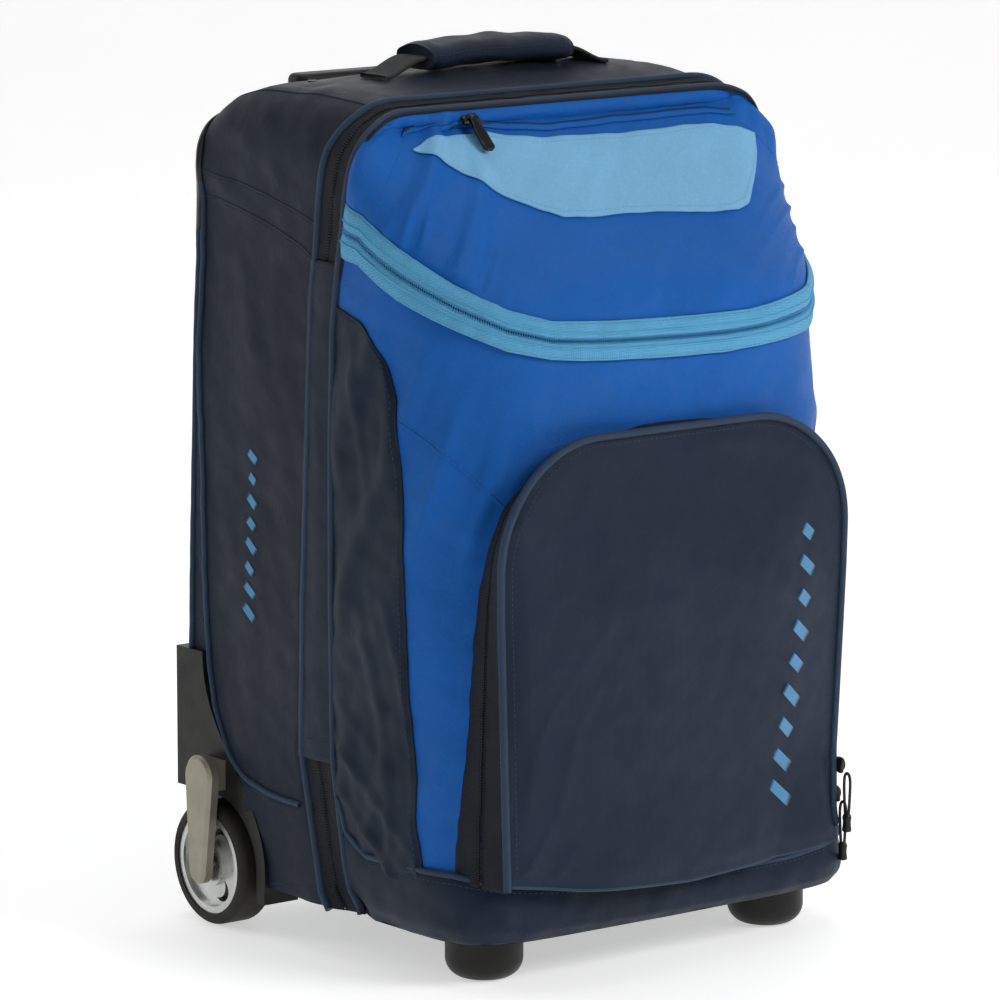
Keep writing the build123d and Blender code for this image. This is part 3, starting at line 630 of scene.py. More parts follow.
def hood_offset(a, b, x, y, z):
    u, w = 2 * a - 1, x - y
    seam = smooth(b / 0.06) * smooth((1 - b) / 0.04)
    side = smooth((np.abs(u) - 0.35) / 0.3)
    gather = smooth((0.55 - b) / 0.5) * side
    puff = 4.0 * np.sin(math.pi * np.clip(b * 1.08, 0, 1)) ** 0.7
    crease = 4.8 * side * hood_fold(x, z) + 2.4 * gather * hood_gather(w, z)
    crease = seam * (crease + 0.6 * royal_soft(w, z) + 0.25 * fine(w, z))
    return 0.6 + tuck(a) * (1.0 + puff * (0.4 + 0.6 * side) + crease)


hood = Skin(between(BAND_TOP, lambda u: HOOD_TOP + 0 * u), hood_offset)


def hood_ab(u, z):
    """Where the point at side place u and height z lies on the hood."""
    return (u + 1) / 2, (z - BAND_TOP(u)) / (HOOD_TOP - BAND_TOP(u))


hood.mesh("hood_panel", 300, 130, ROYAL, "upper_flap")
for side, mark in ((1, "left"), (-1, "right")):
    t = np.linspace(0.0, 1.0, 90)
    u = side * (-0.78 - 0.04 * np.sin(math.pi * t))
    a, b = hood_ab(u, 408 + 78 * t)
    ok = (b > 0) & (b < 1)
    sew("hood_seam_stitch_" + mark, hood, a[ok], b[ok], 3.4, (2.4, 0.6, 0.4), THREAD_BLUE, "upper_flap", lift=0.1)

# sky patch: two curves of the roof
PATCH_TOP = curve([(-.74, 478), (-.68, 481.2), (-.56, 483.4), (-.397, 483.8), (-.277, 480.8), (-.142, 478.7),
                   (.06, 478.3), (.249, 477.7), (.377, 477.7), (.50, 478.5), (.65, 477.5), (.74, 474.5), (.79, 470)])
PATCH_LOW = curve([(-.74, 477.6), (-.638, 471), (-.519, 461), (-.405, 450.6), (-.289, 441.7), (-.221, 437.5),
                   (-.136, 436.3), (-.028, 436), (.172, 434.5), (.43, 431.6), (.485, 433.5), (.62, 448), (.71, 458.5),
                   (.79, 469.6)])


def patch_base(a, b):
    u = -.74 + 1.53 * a
    z = PATCH_LOW(u) + (PATCH_TOP(u) - PATCH_LOW(u)) * b
    return hood.at(*hood_ab(u, z))


patch = Skin(patch_base, lambda a, b, x, y, z: 1.3 + 0.15 * fine(x, z))
patch.mesh("patch_panel_cloth", 150, 40, SKY, "upper_flap", thick=0.8, inside=SKY)
t = np.linspace(0.02, 0.98, 240)
for name, b in (("low", 0.07), ("high", 0.94)):
    sew("patch_stitch_" + name, patch, t, b, 3.0, (2.2, 0.6, 0.4), THREAD_SKY, "upper_flap")


# roof zip above the patch
ROOF_LINE = curve([(-.8, 488), (-.774, 489.9), (-.662, 491.5), (-.457, 490.5), (-.291, 488), (-.104, 485.5),
                   (.12, 486.5), (.21, 487), (.394, 486.5), (.696, 486.9), (.82, 484)])


def roof_base(a, b):
    u = -.8 + 1.6 * a
    z = ROOF_LINE(u) - 3.2 + 6.4 * b
    return hood.at(*np.clip(hood_ab(u, z), 0, 1))


roof = Skin(roof_base, lambda a, b, x, y, z: 0.9 + 0.9 * np.sin(math.pi * b))
roof.mesh("roof_zip_tape", 160, 8, ROYAL, "upper_flap", thick=0.6)
t = np.linspace(0.0, 1.0, 220)
sew("roof_zip_teeth", roof, t, 0.42, 1.5, (2.0, 1.0, 0.8), COIL, "upper_flap", across=True, lift=0.1)
sew("roof_zip_stitch", roof, t, 0.98, 3.0, (2.2, 0.6, 0.4), THREAD_BLUE, "upper_flap")


# ---- front pocket

POCKET_HALF, ARCH, POCKET_TOP = 131.0, 72.0, 319.0
POCKET_LOW = curve([(-131, 67), (-80, 59), (0, 53), (131, 55)])


def lid_front(x, z):
    """How far forward the front half reaches at (x, z)."""
    power = np.interp(z, [30, 70, 200, 300, 390], [8, 6, 4.0, 3.5, 3.3])
    across = np.clip(np.abs(x) / corner_width(z), 0, 1)
    return LID_REAR + bow(z) - depth_at(z) * (1 - across ** power) ** (1 / power)


def face_depth(x, z):
    left = np.interp(z, [60, 110, 220, 320], [-139, -137, -133, -133])
    right = np.interp(z, [60, 110, 220, 320], [-121, -120, -127, -131])
    side = left + (right - left) * smooth((x + 131) / 262)
    edge = side - smooth((110 - np.abs(x)) / 60) * 9 * smooth((120 - z) / 60)
    arch = (1 - np.clip(np.abs(x) / POCKET_HALF, 0, 1) ** 2.4)
    rise = smooth((POCKET_TOP - z) / 110) * (0.7 + 0.3 * smooth((z - 57) / 60))
    return np.minimum(edge - arch * rise * np.interp(z, [60, 220], [10, 18]), lid_front(x, z) - 8)


def arch_top(x):
    d = np.clip(np.abs(x) - (POCKET_HALF - ARCH), 0, ARCH)
    return POCKET_TOP - ARCH + np.sqrt(ARCH ** 2 - d ** 2)


def face_base(a, b):
    x = POCKET_HALF * np.sin(math.pi / 2 * (2 * a - 1))
    low = POCKET_LOW(x)
    z = low + (arch_top(x) - low) * b
    return xyz(x, face_depth(x, z), z)


face_soft = hills(41, 60, 150)
face_fold = folds(43, 58, 24)


def face_offset(a, b, x, y, z):
    height = np.minimum((arch_top(x) - z) / 14, (z - POCKET_LOW(x)) / 12)
    rim = smooth(np.minimum((POCKET_HALF - np.abs(x)) / 16, height))
    left = smooth((-30 - x) / 90)
    return -1.0 + rim * (2.2 + 0.8 * face_soft(x, z) + 1.5 * left * face_fold(x, z) + 0.2 * fine(x, z))


face = Skin(face_base, face_offset)
# the pocket face uses the lighter navy copy, which paints the light on it
face.mesh("pocket_face_panel", 170, 130, NAVY_PAINTED_LIGHT, "pocket_flap", thick=1.2)


def evenly(points, count):
    """A line in a plane, as count points at equal steps."""
    points = np.asarray(points, float)
    s = length_along(points)
    return pick(s, points, np.linspace(0, s[-1], count))


RIM_N = 241
arc = [(-59 - ARCH * math.cos(t), POCKET_TOP - ARCH + ARCH * math.sin(t)) for t in np.linspace(0, math.pi / 2, 30)]
left_rim = evenly([(-POCKET_HALF, 62)] + arc + [(0, POCKET_TOP)], RIM_N)
right_rim = left_rim[::-1][1:] * [-1, 1]
RIM = np.concatenate([left_rim, right_rim])
outer = np.array([(-.599, 64), (-.568, 112), (-.556, 158), (-.543, 199), (-.53, 228), (-.506, 256.6), (-.47, 279.5),
         (-.38, 301.4), (-.269, 313.7), (-.088, 320), (0, 321)])
outer_mm = evenly(outer * [240, 1], RIM_N) / [240, 1]
OUTER_UZ = np.concatenate([outer_mm, outer_mm[::-1][1:] * [-1, 1]])
SPLIT = curve([(0, .5), (.5, .52), (.8, .55), (.9, .72), (1, .72)])


def gusset_point(t, v):
    k = np.clip(t, 0, 1) * (len(RIM) - 1)
    i = np.minimum(k.astype(int), len(RIM) - 2)
    f = (k - i)[..., None]
    e2 = RIM[i] * (1 - f) + RIM[i + 1] * f
    o2 = OUTER_UZ[i] * (1 - f) + OUTER_UZ[i + 1] * f
    e = xyz(e2[..., 0], face_depth(e2[..., 0], e2[..., 1]) + 1.5, e2[..., 1])
    o = lid(o2[..., 0], o2[..., 1])
    v = v[..., None]
    return o * (1 - v) + e * v


def gusset_offset(a, b, x, y, z):
    return 1.4 + 0.25 * fine(y * 1.5, z + x)


POCKET_CENTRE = np.array([0.0, -60.0, 180.0])
gusset_base = Skin(lambda a, b: gusset_point(a, b * (SPLIT(a) - 0.03)), gusset_offset, POCKET_CENTRE)
gusset_flap = Skin(lambda a, b: gusset_point(a, SPLIT(a) + 0.03 + b * (0.97 - SPLIT(a))), gusset_offset, POCKET_CENTRE)
gusset_base.mesh("pocket_gusset_inner", 300, 8, BLACK_CLOTH, "lid")
gusset_flap.mesh("pocket_gusset_outer", 300, 8, BLACK_CLOTH, "pocket_flap")
t = np.linspace(0.002, 0.998, 460)
for name, skin, b, body in (("inner", gusset_base, 1.0, "lid"), ("outer", gusset_flap, 0.0, "pocket_flap")):
    sew("pocket_zip_coil_" + name, skin, t, b, 1.5, (1.9, 1.0, 1.2), COIL, body, across=True, lift=0.15)
sew("pocket_gusset_stitch", gusset_flap, t, 0.9, 3.2, (2.3, 0.6, 0.4), THREAD, "pocket_flap", slot="black_webbing")
rim_path = gusset_point(t, np.ones(460))
rim_out = unit(rim_path - POCKET_CENTRE)
tube("pocket_piping_cord", rim_path + rim_out * [0.6, 0.9, 0.6] - [0, 0.4, 0], 2.4, PIPING, "pocket_flap", sides=10)
tube("pocket_piping_shadow", rim_path + rim_out * [-2.4, 1.6, -2.4], 0.8, BLACK_CLOTH, "pocket_flap", sides=6)
inner = RIM[np.linspace(4, len(RIM) - 5, 420).astype(int)] * [0.955, 1]
inner[:, 1] = 180 + (inner[:, 1] - 180) * 0.968
arc_a = 0.5 + np.arcsin(np.clip(inner[:, 0] / POCKET_HALF, -1, 1)) / math.pi
low = POCKET_LOW(inner[:, 0])
arc_b = np.clip((inner[:, 1] - low) / (arch_top(inner[:, 0]) - low), 0, 1)
sew("pocket_edge_stitch", face, arc_a, arc_b, 3.4, (2.5, 0.7, 0.5), THREAD, "pocket_flap")
bottom_x = np.linspace(-POCKET_HALF, POCKET_HALF, 160)
tube("pocket_hinge_piping", xyz(bottom_x, face_depth(bottom_x, 56.0) + 3, POCKET_LOW(bottom_x) - 0.5), 1.8,
     PIPING, "lid")


def sew_dashes(name, skin, ends, widths, body):
    """A generic column of slanted satin-stitched dashes, each between two places on the skin."""
    t = np.linspace(-0.5, 0.5, 12)
    for k, (((a0, b0), (a1, b1)), width) in enumerate(zip(ends, widths)):
        sew(f"{name}_{k}", skin, (a0 + a1) / 2 + (a1 - a0) * t, (b0 + b1) / 2 + (b1 - b0) * t, 0.62,
            (width, 0.85, 0.7), THREAD_SKY, body, across=True, lift=0.15)


def face_ab(x, z):
    low = POCKET_LOW(x)
    return 0.5 + math.asin(x / POCKET_HALF) / math.pi, (z - low) / (arch_top(x) - low)


ends = []
for k in range(9):
    x, z = 78 + 2.2 * k, 92 + 19.5 * k
    ends.append((face_ab(x - 2.2, z - 2.8), face_ab(x + 2.2, z + 2.8)))
sew_dashes("pocket_dash", face, ends, (24, 20, 17, 21, 15, 18, 13, 16, 11), "pocket_flap")


# ---- main zip between the two halves

def outline(q, width, top, square):
    """Half of the front-view outline, with q from 0 at the floor to 1 at the middle of the top: x (negative) and z."""
    q = np.asarray(q, float)
    side = 30 + (top - CORNER - 30) * np.clip(q / 0.70, 0, 1)
    k = np.clip((q - 0.70) / 0.12, 0, 1) * math.pi / 2
    power = 2 / square
    x_corner = width - CORNER + CORNER * np.cos(k) ** power
    z_corner = top - CORNER + CORNER * np.sin(k) ** power
    x = np.where(q < 0.70, corner_width(np.minimum(side, 455)) if width is HALF_WIDTH else width, x_corner)
    z = np.where(q < 0.70, side, z_corner)
    across = np.clip((q - 0.82) / 0.18, 0, 1)
    return -x * (1 - across), z


def rim(t, v):
    q = 1 - np.abs(2 * t - 1)
    x0, z0 = outline(q, HALF_WIDTH, 500, 2.6)
    x1, z1 = outline(q, 154.001, 505, 2.3)
    sign = np.where(t > 0.5, -1, 1)
    front = xyz(x0 * sign, RIM_FRONT(z0), z0)
    rear = xyz(x1 * sign, RIM_REAR(z1), z1)
    v = v[..., None]
    return front * (1 - v) + rear * v


RIM_T = steps((0, .34, 90), (.345, .43, 40), (.435, .565, 40), (.57, .655, 40), (.66, 1, 90))


def rim_offset(a, b, x, y, z):
    return 0.8 + 0.3 * fine(y * 2, z + x)


zip_front = Skin(lambda a, b: rim(a, 0.02 + 0.46 * b), rim_offset)
zip_rear = Skin(lambda a, b: rim(a, 0.52 + 0.46 * b), rim_offset)
zip_back = Skin(lambda a, b: rim(a, 0.4 + 0.2 * b), lambda a, b, x, y, z: -1.6 + 0 * a)
zip_back.mesh("main_zip_guard_strip", 0, 5, BLACK_CLOTH, "lid", la=np.linspace(0.001, 0.999, 260), thick=0.5)
zip_front.mesh("main_zip_front_tape", 0, 7, BLACK_CLOTH, "lid", la=RIM_T)
zip_rear.mesh("main_zip_rear_tape", 0, 7, BLACK_CLOTH, "root", la=RIM_T)
for name, skin, b, body in (("front", zip_front, 1.0, "lid"), ("rear", zip_rear, 0.0, "root")):
    path, n = along(skin, RIM_T, b)
    n = unit(path - CENTRE) * [1, 0, 1]
    beads("main_zip_coil_" + name, path, n, 1.7, (2.2, 1.1, 1.5), COIL, body, across=True, lift=0.2)
front_edge = rim(RIM_T, np.zeros(len(RIM_T)))
rear_edge = rim(RIM_T, np.ones(len(RIM_T)))
out = unit((front_edge - CENTRE) * [1, 0, 1])
tube("lid_edge_piping", front_edge + out * 1.0, 2.3, PIPING, "lid", sides=10)
out = unit((rear_edge - CENTRE) * [1, 0, 1])
tube("shell_edge_piping", rear_edge + out * 1.0, 2.3, PIPING, "root", sides=10)


for k, (edge, shift, body) in enumerate(((front_edge, -3.4, "lid"), (front_edge, 3.0, "lid"),
                                         (rear_edge, 3.4, "root"))):
    out = unit((edge - CENTRE) * [1, 0, 1])
    tube(f"piping_shadow_{k}", edge + out * 0.4 + [0, shift, 0], 0.9, BLACK_CLOTH, body, sides=6)


# cloth over the hinge side
def hinge_base(a, b):
    z = 118 + 297 * b
    y = (RIM_REAR(z) + 4) + (RIM_FRONT(z) - 1 - RIM_REAR(z) - 4) * a
    return xyz(-155.0, y, z)


hinge_skin = Skin(hinge_base, lambda a, b, x, y, z: (0.5 + 1.5 * np.sin(math.pi * a) + 0.7 * flank_fold(y * 1.5, z)
                                                     + 0.2 * fine(y, z)))
cover = hinge_skin.mesh("hinge_cover_cloth", 14, 130, NAVY, None, thick=0.9)
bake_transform(cover)
t = np.linspace(0.05, 0.95, 30)
for k, b in enumerate((0.012, 0.04, 0.985)):
    path, n = along(hinge_skin, t, b)
    stitch = beads(f"hinge_cover_stitch_{k}", path, n, 2.9, (2.2, 0.6, 0.5), THREAD, None, lift=0.1)
    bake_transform(stitch)


# ---- rear half

REAR_LINE = curve([(30, 147), (168, 147), (218, 145), (286, 141), (347, 137.5), (434, 135), (520, 133)])
SIDE_PART, ARC_PART = 0.42, 0.46
wrap_soft = hills(61, 90, 200)
wrap_fold = folds(63, 78, 60)
wrap_crease = folds(65, 28, 34)


def wrap_frame(t):
    d = 18 + t * 121
    half = HALF_WIDTH - 8 + np.sqrt(np.maximum(64 - np.maximum(d - 131, 0) ** 2, 0))
    top = 465 + np.sqrt(np.maximum(1600 - np.maximum(d - 99, 0) ** 2, 0))
    return half, top, CORNER + (16 - CORNER) * t


def wrap_base(s, t):
    half, top, r = wrap_frame(t)
    m = np.where(s > 0.5, 1 - s, s)
    sign = np.where(s > 0.5, 1.0, -1.0)
    z_side = 30 + (top - r - 30) * np.clip(m / SIDE_PART, 0, 1)
    k = np.clip((m - SIDE_PART) / (ARC_PART - SIDE_PART), 0, 1) * math.pi / 2
    across = np.clip((m - ARC_PART) / (0.5 - ARC_PART), 0, 1)
    x = np.where(m <= SIDE_PART, half, half - r + r * np.cos(k))
    x = np.where(m > ARC_PART, (half - r) * (1 - across), x)
    crown = 11 * np.sin(math.pi * np.clip(t * 1.12, 0, 1)) * (1 - (np.abs(x) / HALF_WIDTH) ** 2)
    z = np.where(m <= SIDE_PART, z_side, top - r + r * np.sin(k)) + np.where(m > SIDE_PART, crown, 0)
    front = RIM_REAR(z) + 1
    return xyz(sign * x, front + (REAR_LINE(z) - front) * t, z)


def wrap_offset(s, t, x, y, z):
    m = np.minimum(s, 1 - s)
    seam = smooth(t / 0.05) * smooth((1 - t) / 0.08)
    side = smooth((0.44 - m) / 0.04)
    belly = 2.0 * np.sin(math.pi * t) * np.sin(math.pi * np.clip((z - 30) / 470, 0, 1))
    upper = smooth((z - 380) / 60)
    top = 1 - side
    wave = (side * (1.1 * wrap_soft(y, z) + 1.8 * wrap_fold(y, z) + 1.6 * upper * wrap_crease(y, z))
            + top * (0.9 * wrap_soft(x, y) + 0.9 * wrap_crease(x, y)))
    return seam * (belly * side + wave + 0.3 * fine(y, z))


wrap = Skin(wrap_base, wrap_offset, step=0.004)
HOUSING = curve([(20, 68), (30, 65), (54, 67), (82, 79), (111, 105), (137, 117), (165, 125)])


def outside_housing(p):
    x, y, z = np.moveaxis(p, -1, 0)
    return ~((y > HOUSING(z) + 6) & (z < 158) & (np.abs(x) > 120))


def clear_of_handle(p):
    """Open over the wheel housings, and over the mouth of the telescopic handle."""
    x, y, z = np.moveaxis(p, -1, 0)
    mouth = (np.abs(x) < 97) & (y > 108) & (y < 135) & (z > 460)
    return outside_housing(p) & ~mouth


def floor_base(a, b):
    return xyz(-150 + 300 * a, 6 + 136 * b, 31.0)


floor_skin = Skin(floor_base)
floor_skin.mesh("shell_floor_panel", 100, 50, BLACK_CLOTH, "root",
                keep=lambda p: ~((p[..., 1] > 66) & (np.abs(p[..., 0]) > 130)))


S_LINE = steps((0, .42, 130), (.4225, .46, 18), (.464, .536, 44), (.54, .5775, 18), (.58, 1, 130))
T_LINE = steps((0, .88, 66), (.89, 1, 18))
# the rear wrap uses the darker navy copy, which paints its shade
wrap.mesh("shell_wrap", 0, 0, NAVY_PAINTED_SHADE, "root", thick=1.4, keep=clear_of_handle, la=S_LINE, lb=T_LINE)


def side_st(y, z, side=-1):
    """Where the point (y, z) of a side lies on the wrap."""
    y, z = np.asarray(y, float), np.asarray(z, float)
    front = RIM_REAR(z) + 1
    t = np.clip((y - front) / (REAR_LINE(z) - front), 0, 1)
    half, top, r = wrap_frame(t)
    m = SIDE_PART * (z - 30) / (top - r - 30)
    return (m if side < 0 else 1 - m), t


def rounded(points, count):
    """A line in a plane with its corners cut three times."""
    points = np.asarray(points, float)
    for turn in range(3):
        q = points[:-1] * 0.75 + points[1:] * 0.25
        r = points[:-1] * 0.25 + points[1:] * 0.75
        points = np.concatenate([points[:1], np.stack([q, r], 1).reshape(-1, 2), points[-1:]])
    return evenly(points, count)


YOKES = {
    "yoke": [(131, 458), (114, 455), (79, 452), (29, 441), (9, 434)],
    "yoke_second": [(132, 441), (115, 442), (79, 436), (29, 423), (13, 414)],
}
LOWER_PIPING = [(127, 450), (127, 318), (127, 196), (125, 162), (119, 135), (107, 112), (90, 97), (66, 90), (30, 88)]
for name, side in (("left", -1), ("right", 1)):
    def on_side(points, count):
        return along(wrap, *side_st(*rounded(points, count).T, side))
    for label, points in YOKES.items():
        path, n = on_side(points, 90)
        tube(f"side_{label}_seam_{name}", path - n * 0.2, 0.7, NAVY, "root", sides=6)
        beads(f"side_{label}_stitch_{name}", path, n, 3.4, (2.4, 0.6, 0.4), THREAD, "root", shift=2.4 * side, lift=0.1)
    path, n = on_side(LOWER_PIPING, 240)
    tube("side_lower_piping_" + name, path + n * 0.5, 1.8, PIPING, "root")
    beads("side_lower_stitch_" + name, path, n, 3.4, (2.5, 0.6, 0.45), THREAD, "root", shift=4.2 * side, lift=0.1)
    beads("side_base_stitch_" + name, *on_side([(64, 34), (40, 36), (12, 40)], 40), 3.2, (2.4, 0.6, 0.45), THREAD,
          "root", lift=0.1)

ends = []
for k in range(8):
    y, z = 80 - 0.6 * k, 196 + 13.5 * k
    ends.append((side_st(y + 1.6, z - 2.0), side_st(y - 1.6, z + 2.0)))
sew_dashes("side_dash", wrap, ends, (14, 12, 10, 13, 9, 11, 8, 10), "root")

# rear edge piping and the two shoulder seams of the top
q = steps((.13, .42, 90), (.4225, .46, 20), (.464, .536, 40), (.54, .5775, 20), (.58, .87, 90))
tube("shell_rear_piping", wrap.at(q, 0.965, 0.8), 1.9, PIPING, "root")
for name, m in (("left", .452), ("right", .548)):
    tt = np.linspace(0.02, 0.95, 70)
    path, n = along(wrap, m, tt)
    beads("top_seam_stitch_" + name, path, n, 3.2, (2.3, 0.6, 0.45), THREAD, "root", lift=0.1)
    tube("top_seam_" + name, path - n * 0.3, 0.8, NAVY, "root", sides=6)


def back_base(a, b):
    z = 30 + 435 * b
    width = np.where(z > 449, 130 + np.sqrt(np.maximum(16 ** 2 - (z - 449) ** 2, 0)), 146.0)
    x = (2 * a - 1) * width
    return xyz(x, REAR_LINE(z), z)


back_soft = hills(71, 60, 140)


def back_offset(a, b, x, y, z):
    rim_fade = smooth(np.minimum(a, 1 - a) / 0.05) * smooth(b / 0.03) * smooth((1 - b) / 0.03)
    channel = sum(np.exp(-((x - c) / 3.0) ** 2) for c in (-96, 96)) + np.exp(-((z - 170) / 3.0) ** 2) * (np.abs(x) < 96)
    return rim_fade * (3.0 + 0.8 * back_soft(x, z) - 2.4 * channel + 0.25 * fine(x, z))


back = Skin(back_base, back_offset)
# the back panel uses the darker navy copy, which paints its shade
back.mesh("shell_back_panel", 120, 150, NAVY_PAINTED_SHADE, "root", thick=1.2, keep=outside_housing)
tt = np.linspace(0.02, 0.98, 200)
for k, x in enumerate((-100, -92, 92, 100)):
    sew(f"back_stitch_{k}", back, 0.5 + x / 292, tt, 3.4, (2.5, 0.7, 0.5), THREAD, "root", lift=0.1)

GUARD_M = steps((.375, .42, 40), (.4225, .46, 20), (.461, .472, 6))
for name, side in (("left", -1), ("right", 1)):
    def guard_base(a, b, side=side):
        path = np.interp(a, np.linspace(0, 1, len(GUARD_M)), GUARD_M)
        m = path if side < 0 else 1 - path
        return wrap.at(m, 0.925 + 0.075 * b)
    guard_skin = Skin(guard_base, lambda a, b, x, y, z: 2.6 * np.minimum(1, 4 * b) ** 0.5)
    guard_skin.mesh("corner_guard_band_" + name, 90, 14, GLOSS, "root", slot="black_plastic", thick=2.2, inside=GLOSS)


# ---- carry handle

def oval(count, power):
    a = np.arange(count) / count * math.tau
    return np.stack([np.sign(np.cos(a)) * np.abs(np.cos(a)) ** (2 / power),
                     np.sign(np.sin(a)) * np.abs(np.sin(a)) ** (2 / power)], -1)


HANDLE_Y = 51.0
pad_soft = hills(81, 18, 45)
rings = []
for x in np.linspace(-53, 53, 60):
    k = abs(x) / 53
    end = 1 - 0.10 * smooth((k - 0.9) / 0.1)
    section = oval(40, 3.2)
    y = HANDLE_Y + section[:, 0] * (19.5 + 0.8 * math.cos(x / 9)) * end
    z = 525.5 - 2.5 * k ** 2 + section[:, 1] * 8.3 * end * (1 - 0.25 * (section[:, 0]) ** 2)
    z = z + 0.5 * pad_soft(x, y)
    rings.append(xyz(x, y, np.clip(z, 514.5, 537)))
loft("carry_handle_sleeve", rings, NAVY, "root")
rings = np.asarray(rings)
for k, i in enumerate((4, 55)):
    ring = np.concatenate([rings[i], rings[i][:1]])
    out = unit(ring - [ring[0, 0], HANDLE_Y, 525])
    beads(f"carry_sleeve_stitch_{k}", ring, out, 3.0, (2.3, 0.6, 0.5), THREAD, "root", lift=0.1)
for k, j in enumerate((1, 19)):
    row = rings[:, j]
    out = unit(row * [0, 1, 1] - [0, HANDLE_Y, 525])
    beads(f"carry_sleeve_edge_{k}", row, out, 3.2, (2.4, 0.6, 0.5), THREAD, "root", lift=0.1)
for name, side in (("left", -1), ("right", 1)):
    rings = []
    for t in np.linspace(0, 1, 26):
        x = side * (84 - 36 * t)
        z = 513.5 + 9.5 * smooth(t * 1.25)
        section = oval(24, 5)
        rings.append(xyz(x, HANDLE_Y + section[:, 0] * 13, z + section[:, 1] * 1.5))
    loft("carry_strap_" + name, rings, BLACK_WEB, "root")


# ---- sliders and pulls

def frame_at(position, run, normal):
    run, normal = unit(np.asarray(run, float)), unit(np.asarray(normal, float))
    side = unit(np.cross(normal, run))
    normal = np.cross(run, side)
    return lambda p: position + p[..., :1] * run + p[..., 1:2] * side + p[..., 2:] * normal


def zip_slider(name, position, run, normal, material, body, size=1.0):
    """A slider body with its shoulders and bridge, along run, standing off along normal."""
    place = frame_at(position, run, normal)
    rings = []
    for x in np.linspace(-1, 1, 13):
        w = (3.4 + 1.7 * smooth((x + 0.4) / 1.1)) * (1 - 0.35 * smooth((abs(x) - 0.8) / 0.2))
        h = 1.7 * (1 - 0.4 * smooth((abs(x) - 0.75) / 0.25))
        s = oval(16, 3.5)
        rings.append(place(xyz(x * 6.0, s[:, 0] * w, 0.6 + s[:, 1] * h) * size))
    loft(name, rings, material, body)
    t = np.linspace(0, math.pi, 14)
    bridge = place(xyz(4.2 * np.cos(t), 0, 2.0 + 2.6 * np.sin(t)) * size)
    tube(name + "_bridge", bridge, 0.75 * size, material, body)


def tab(name, top, down, normal, length, width, material, body):
    """A pull tab with an eye at the top and a rounded foot."""
    place = frame_at(np.asarray(top, float), down, normal)
    rows = []
    for x in np.linspace(0, 1, 22):
        w = width / 2 * (0.62 + 0.38 * smooth((x - 0.1) / 0.4)) * (1 - 0.55 * smooth((x - 0.93) / 0.07))
        s = oval(16, 4)
        waist = 0.75 + 0.25 * smooth((abs(x - 0.55) - 0.2) / 0.1)
        rows.append(place(xyz(x * length, s[:, 0] * w, s[:, 1] * waist)))
    loft(name, rows, material, body)


def spot(skin, a, b):
    p, n = along(skin, np.array([a]), np.array([b]))
    q = skin.at(np.array([min(a + .01, 1)]), np.array([b]))
    return p[0], n[0], unit(q[0] - p[0])


def middle_of(node, axis):
    low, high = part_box(node)
    return (low[axis] + high[axis]) / 2 / MM


# the patch pocket's slider, on the plane of the roof, and its tab on the hood below
ROOF_NORMAL = unit(np.array([0, -0.655, 0.755]))
grid = np.linspace(0, 1, 200)
a = np.interp(middle_of("roof_slider", 0), roof.at(grid, 0.45)[:, 0], grid)
p, n, run = spot(roof, a, 0.45)
zip_slider("roof_zip_slider", p + ROOF_NORMAL * 2.8, unit(run * [1, 0.2, 0.2]), ROOF_NORMAL, GLOSS, "roof_slider")
u = -.8 + 1.6 * a
foot = hood.at(*hood_ab(u, ROOF_LINE(u) - 19))
start = p + ROOF_NORMAL * 5.8
down = unit(foot * [0, 1, 1] + p * [1, 0, 0] + ROOF_NORMAL * 5.2 - start)
tab("roof_zip_pull", start, down, ROOF_NORMAL, 25, 8.5, GLOSS, "roof_pull")

# the pale band's slider
grid = np.linspace(0.5, 1, 400)
a = grid[np.abs(band_low.at(grid, 1.0)[:, 1] - middle_of("band_slider", 1)).argmin()]
p, n, run = spot(band_low, a, 1.0)
zip_slider("band_zip_slider", p + n * 1.5, run, n, ZIP_METAL, "band_slider", 0.9)
tab("band_zip_pull", p + n * 4.2, (0.0, -0.1, -1.0), n, 20, 7, ZIP_METAL, "band_slider")

# the main zip's slider
MAIN_RUN_Y = 5.0
z = middle_of("main_slider", 2)
zip_slider("main_zip_slider", (156.0, MAIN_RUN_Y, z), (0, 0, 1), (1, 0, 0), ZIP_METAL, "main_slider")
tab("main_zip_pull", (159.6, MAIN_RUN_Y, z - 1), (0, 0, -1), (1, 0, 0), 28, 8, ZIP_METAL, "main_slider")


def nurbs(name, points, radius, material):
    data = bpy.data.curves.new(name, "CURVE")
    data.dimensions, data.resolution_u = "3D", 12
    data.bevel_depth, data.bevel_resolution, data.use_fill_caps = radius * MM, 5, True
    spline = data.splines.new("NURBS")
    spline.points.add(len(points) - 1)
    for point, (x, y, z) in zip(spline.points, points):
        point.co = (x * MM, y * MM, z * MM, 1)
    spline.order_u, spline.use_endpoint_u = 3, True
    obj = bpy.data.objects.new(name, data)
    scene.collection.objects.link(obj)
    data.materials.append(material)
    return obj


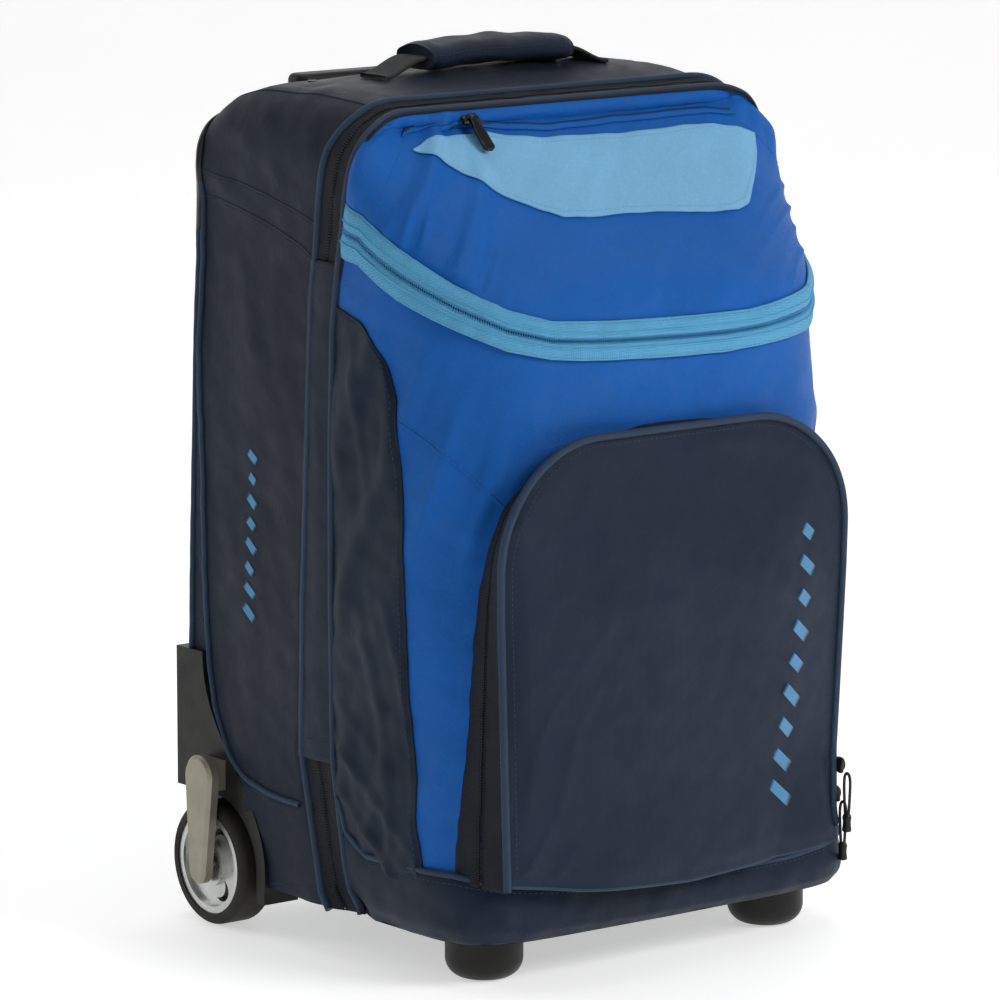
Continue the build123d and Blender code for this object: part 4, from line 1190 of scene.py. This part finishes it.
PULL_ROUTE = ((-1.4, -27), (-2.5, -14), (-2.9, -2.4), (0, 0.7), (2.9, -2.4), (2.6, -15), (1.5, -27))
for name, x, y, z in (("upper", 135.0, -128.6, 95), ("lower", 135.0, -125.0, 77)):
    body = "pocket_slider_" + name
    zip_slider(body + "_body", (x - 0.6, y + 6.6, z + 4), (0, 0, 1 if name == "upper" else -1), (1, -0.15, 0),
               ZIP_METAL, body, 0.8)
    pull = nurbs("pocket_pull_cord_" + name, [(x, y + across, z + up) for across, up in PULL_ROUTE], 0.9, CORD)
    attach(pull, body)
    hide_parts("pull_cord_" + name)
    rings = []
    for t, r in ((0, 1.6), (0.06, 2.5), (0.2, 2.9), (0.45, 2.5), (0.7, 2.7), (0.9, 3.0), (0.97, 2.6), (1, 1.8)):
        s = oval(20, 2.4)
        rings.append(xyz(x + s[:, 0] * r * 0.85, y + s[:, 1] * r, z - 25 - 11 * t))
    end = loft("pocket_pull_end_" + name, rings, KNOB, body)


# ---- CAD nodes kept, with finished materials

SIDES = ("_left", "_right")
FINISH = {name + side: (material, bevel) for name, material, bevel in (
    ("wheel_housing", BLACK, 1.2), ("arm_cover", ARM, 1.4), ("tyre", TYRE, 1.0), ("rim", RIM_PAINT, 0.5),
    ("bearings", STEEL, 0), ("foot", BLACK, 1.0)) for side in SIDES}
FINISH |= {name: (material, bevel) for name, material, bevel in (
    ("back_board", BOARD, 0), ("base_tray", BOARD, 1.0), ("tube_lining", LINING, 0), ("lid_back_panel", LINING, 0),
    ("axles", STEEL, 0), ("handle_tray", BLACK, 0.8), ("tube_bracket", BLACK, 0.8), ("outer_tubes", ALLOY, 0),
    ("middle_tubes", ALLOY, 0), ("inner_tubes", ALLOY, 0), ("handle_grip", BLACK, 1.5), ("grip_button", GLOSS, 0.4),
    ("release_rods", STEEL, 0), ("handle_anchors", BLACK, 0.8), ("rivets", ZIP_METAL, 0), ("foot_screws", STEEL, 0))}
for node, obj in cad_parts.items():
    if node not in FINISH:
        continue
    material, bevel = FINISH[node]
    if not obj.material_slots:
        obj.data.materials.append(material)
    for place in obj.material_slots:
        place.link = "OBJECT"
        place.material = material
    if bevel:
        m = obj.modifiers.new("edges", "BEVEL")
        m.width, m.segments, m.limit_method, m.angle_limit = bevel * MM, 3, "ANGLE", math.radians(35)
        m.harden_normals = True


# ---- floor and light

def backdrop():
    y = np.concatenate([np.linspace(-4, 3, 30), 3 + 1.5 * np.sin(np.linspace(0.05, math.pi / 2, 20)), np.full(6, 4.5)])
    z = np.concatenate([np.zeros(30), 1.5 - 1.5 * np.cos(np.linspace(0.05, math.pi / 2, 20)), np.linspace(1.7, 4, 6)])
    x = np.linspace(-5, 5, 24)
    X, Y = np.meshgrid(x, y, indexing="ij")
    Z = np.broadcast_to(z, X.shape)
    turn = math.radians(-38)
    P = xyz(X * math.cos(turn) - Y * math.sin(turn), X * math.sin(turn) + Y * math.cos(turn), Z) / MM
    n = Nodes("studio_floor")
    n.to("Base Color", n.mix(n.noise(3, 2), (0.86, 0.86, 0.86), (0.9, 0.9, 0.9)))
    n.to("Roughness", 0.7)
    n.to("Emission Color", (1, 1, 1, 1))
    n.to("Emission Strength", 0.5)
    return make("studio_floor", P, faces_of(24, 56), n.mat)


backdrop()
world = bpy.data.worlds.new("studio")
scene.world = world
world.use_nodes = True
tree = world.node_tree
plain = tree.nodes["Background"]
plain.inputs["Color"].default_value = (1, 1, 1, 1)
plain.inputs["Strength"].default_value = 0.18
scene.view_settings.view_transform = "Standard"


def softbox(name, position, target, size, power):
    light = bpy.data.lights.new(name, "AREA")
    light.shape, light.size, light.size_y, light.energy = "RECTANGLE", size[0], size[1], power
    obj = bpy.data.objects.new(name, light)
    scene.collection.objects.link(obj)
    aim(obj, position, Vector(position) - Vector(target))


softbox("key", (1.3, -2.6, 2.0), (0, 0, 0.3), (1.3, 1.3), 56)
softbox("fill", (-3.2, -1.6, 1.4), (0, 0, 0.25), (2.0, 2.0), 11)
softbox("top", (0.2, 0.4, 2.6), (0, 0, 0.3), (1.8, 1.8), 16)
softbox("rim", (-1.8, 2.2, 1.6), (0, 0, 0.3), (1.4, 1.4), 14)
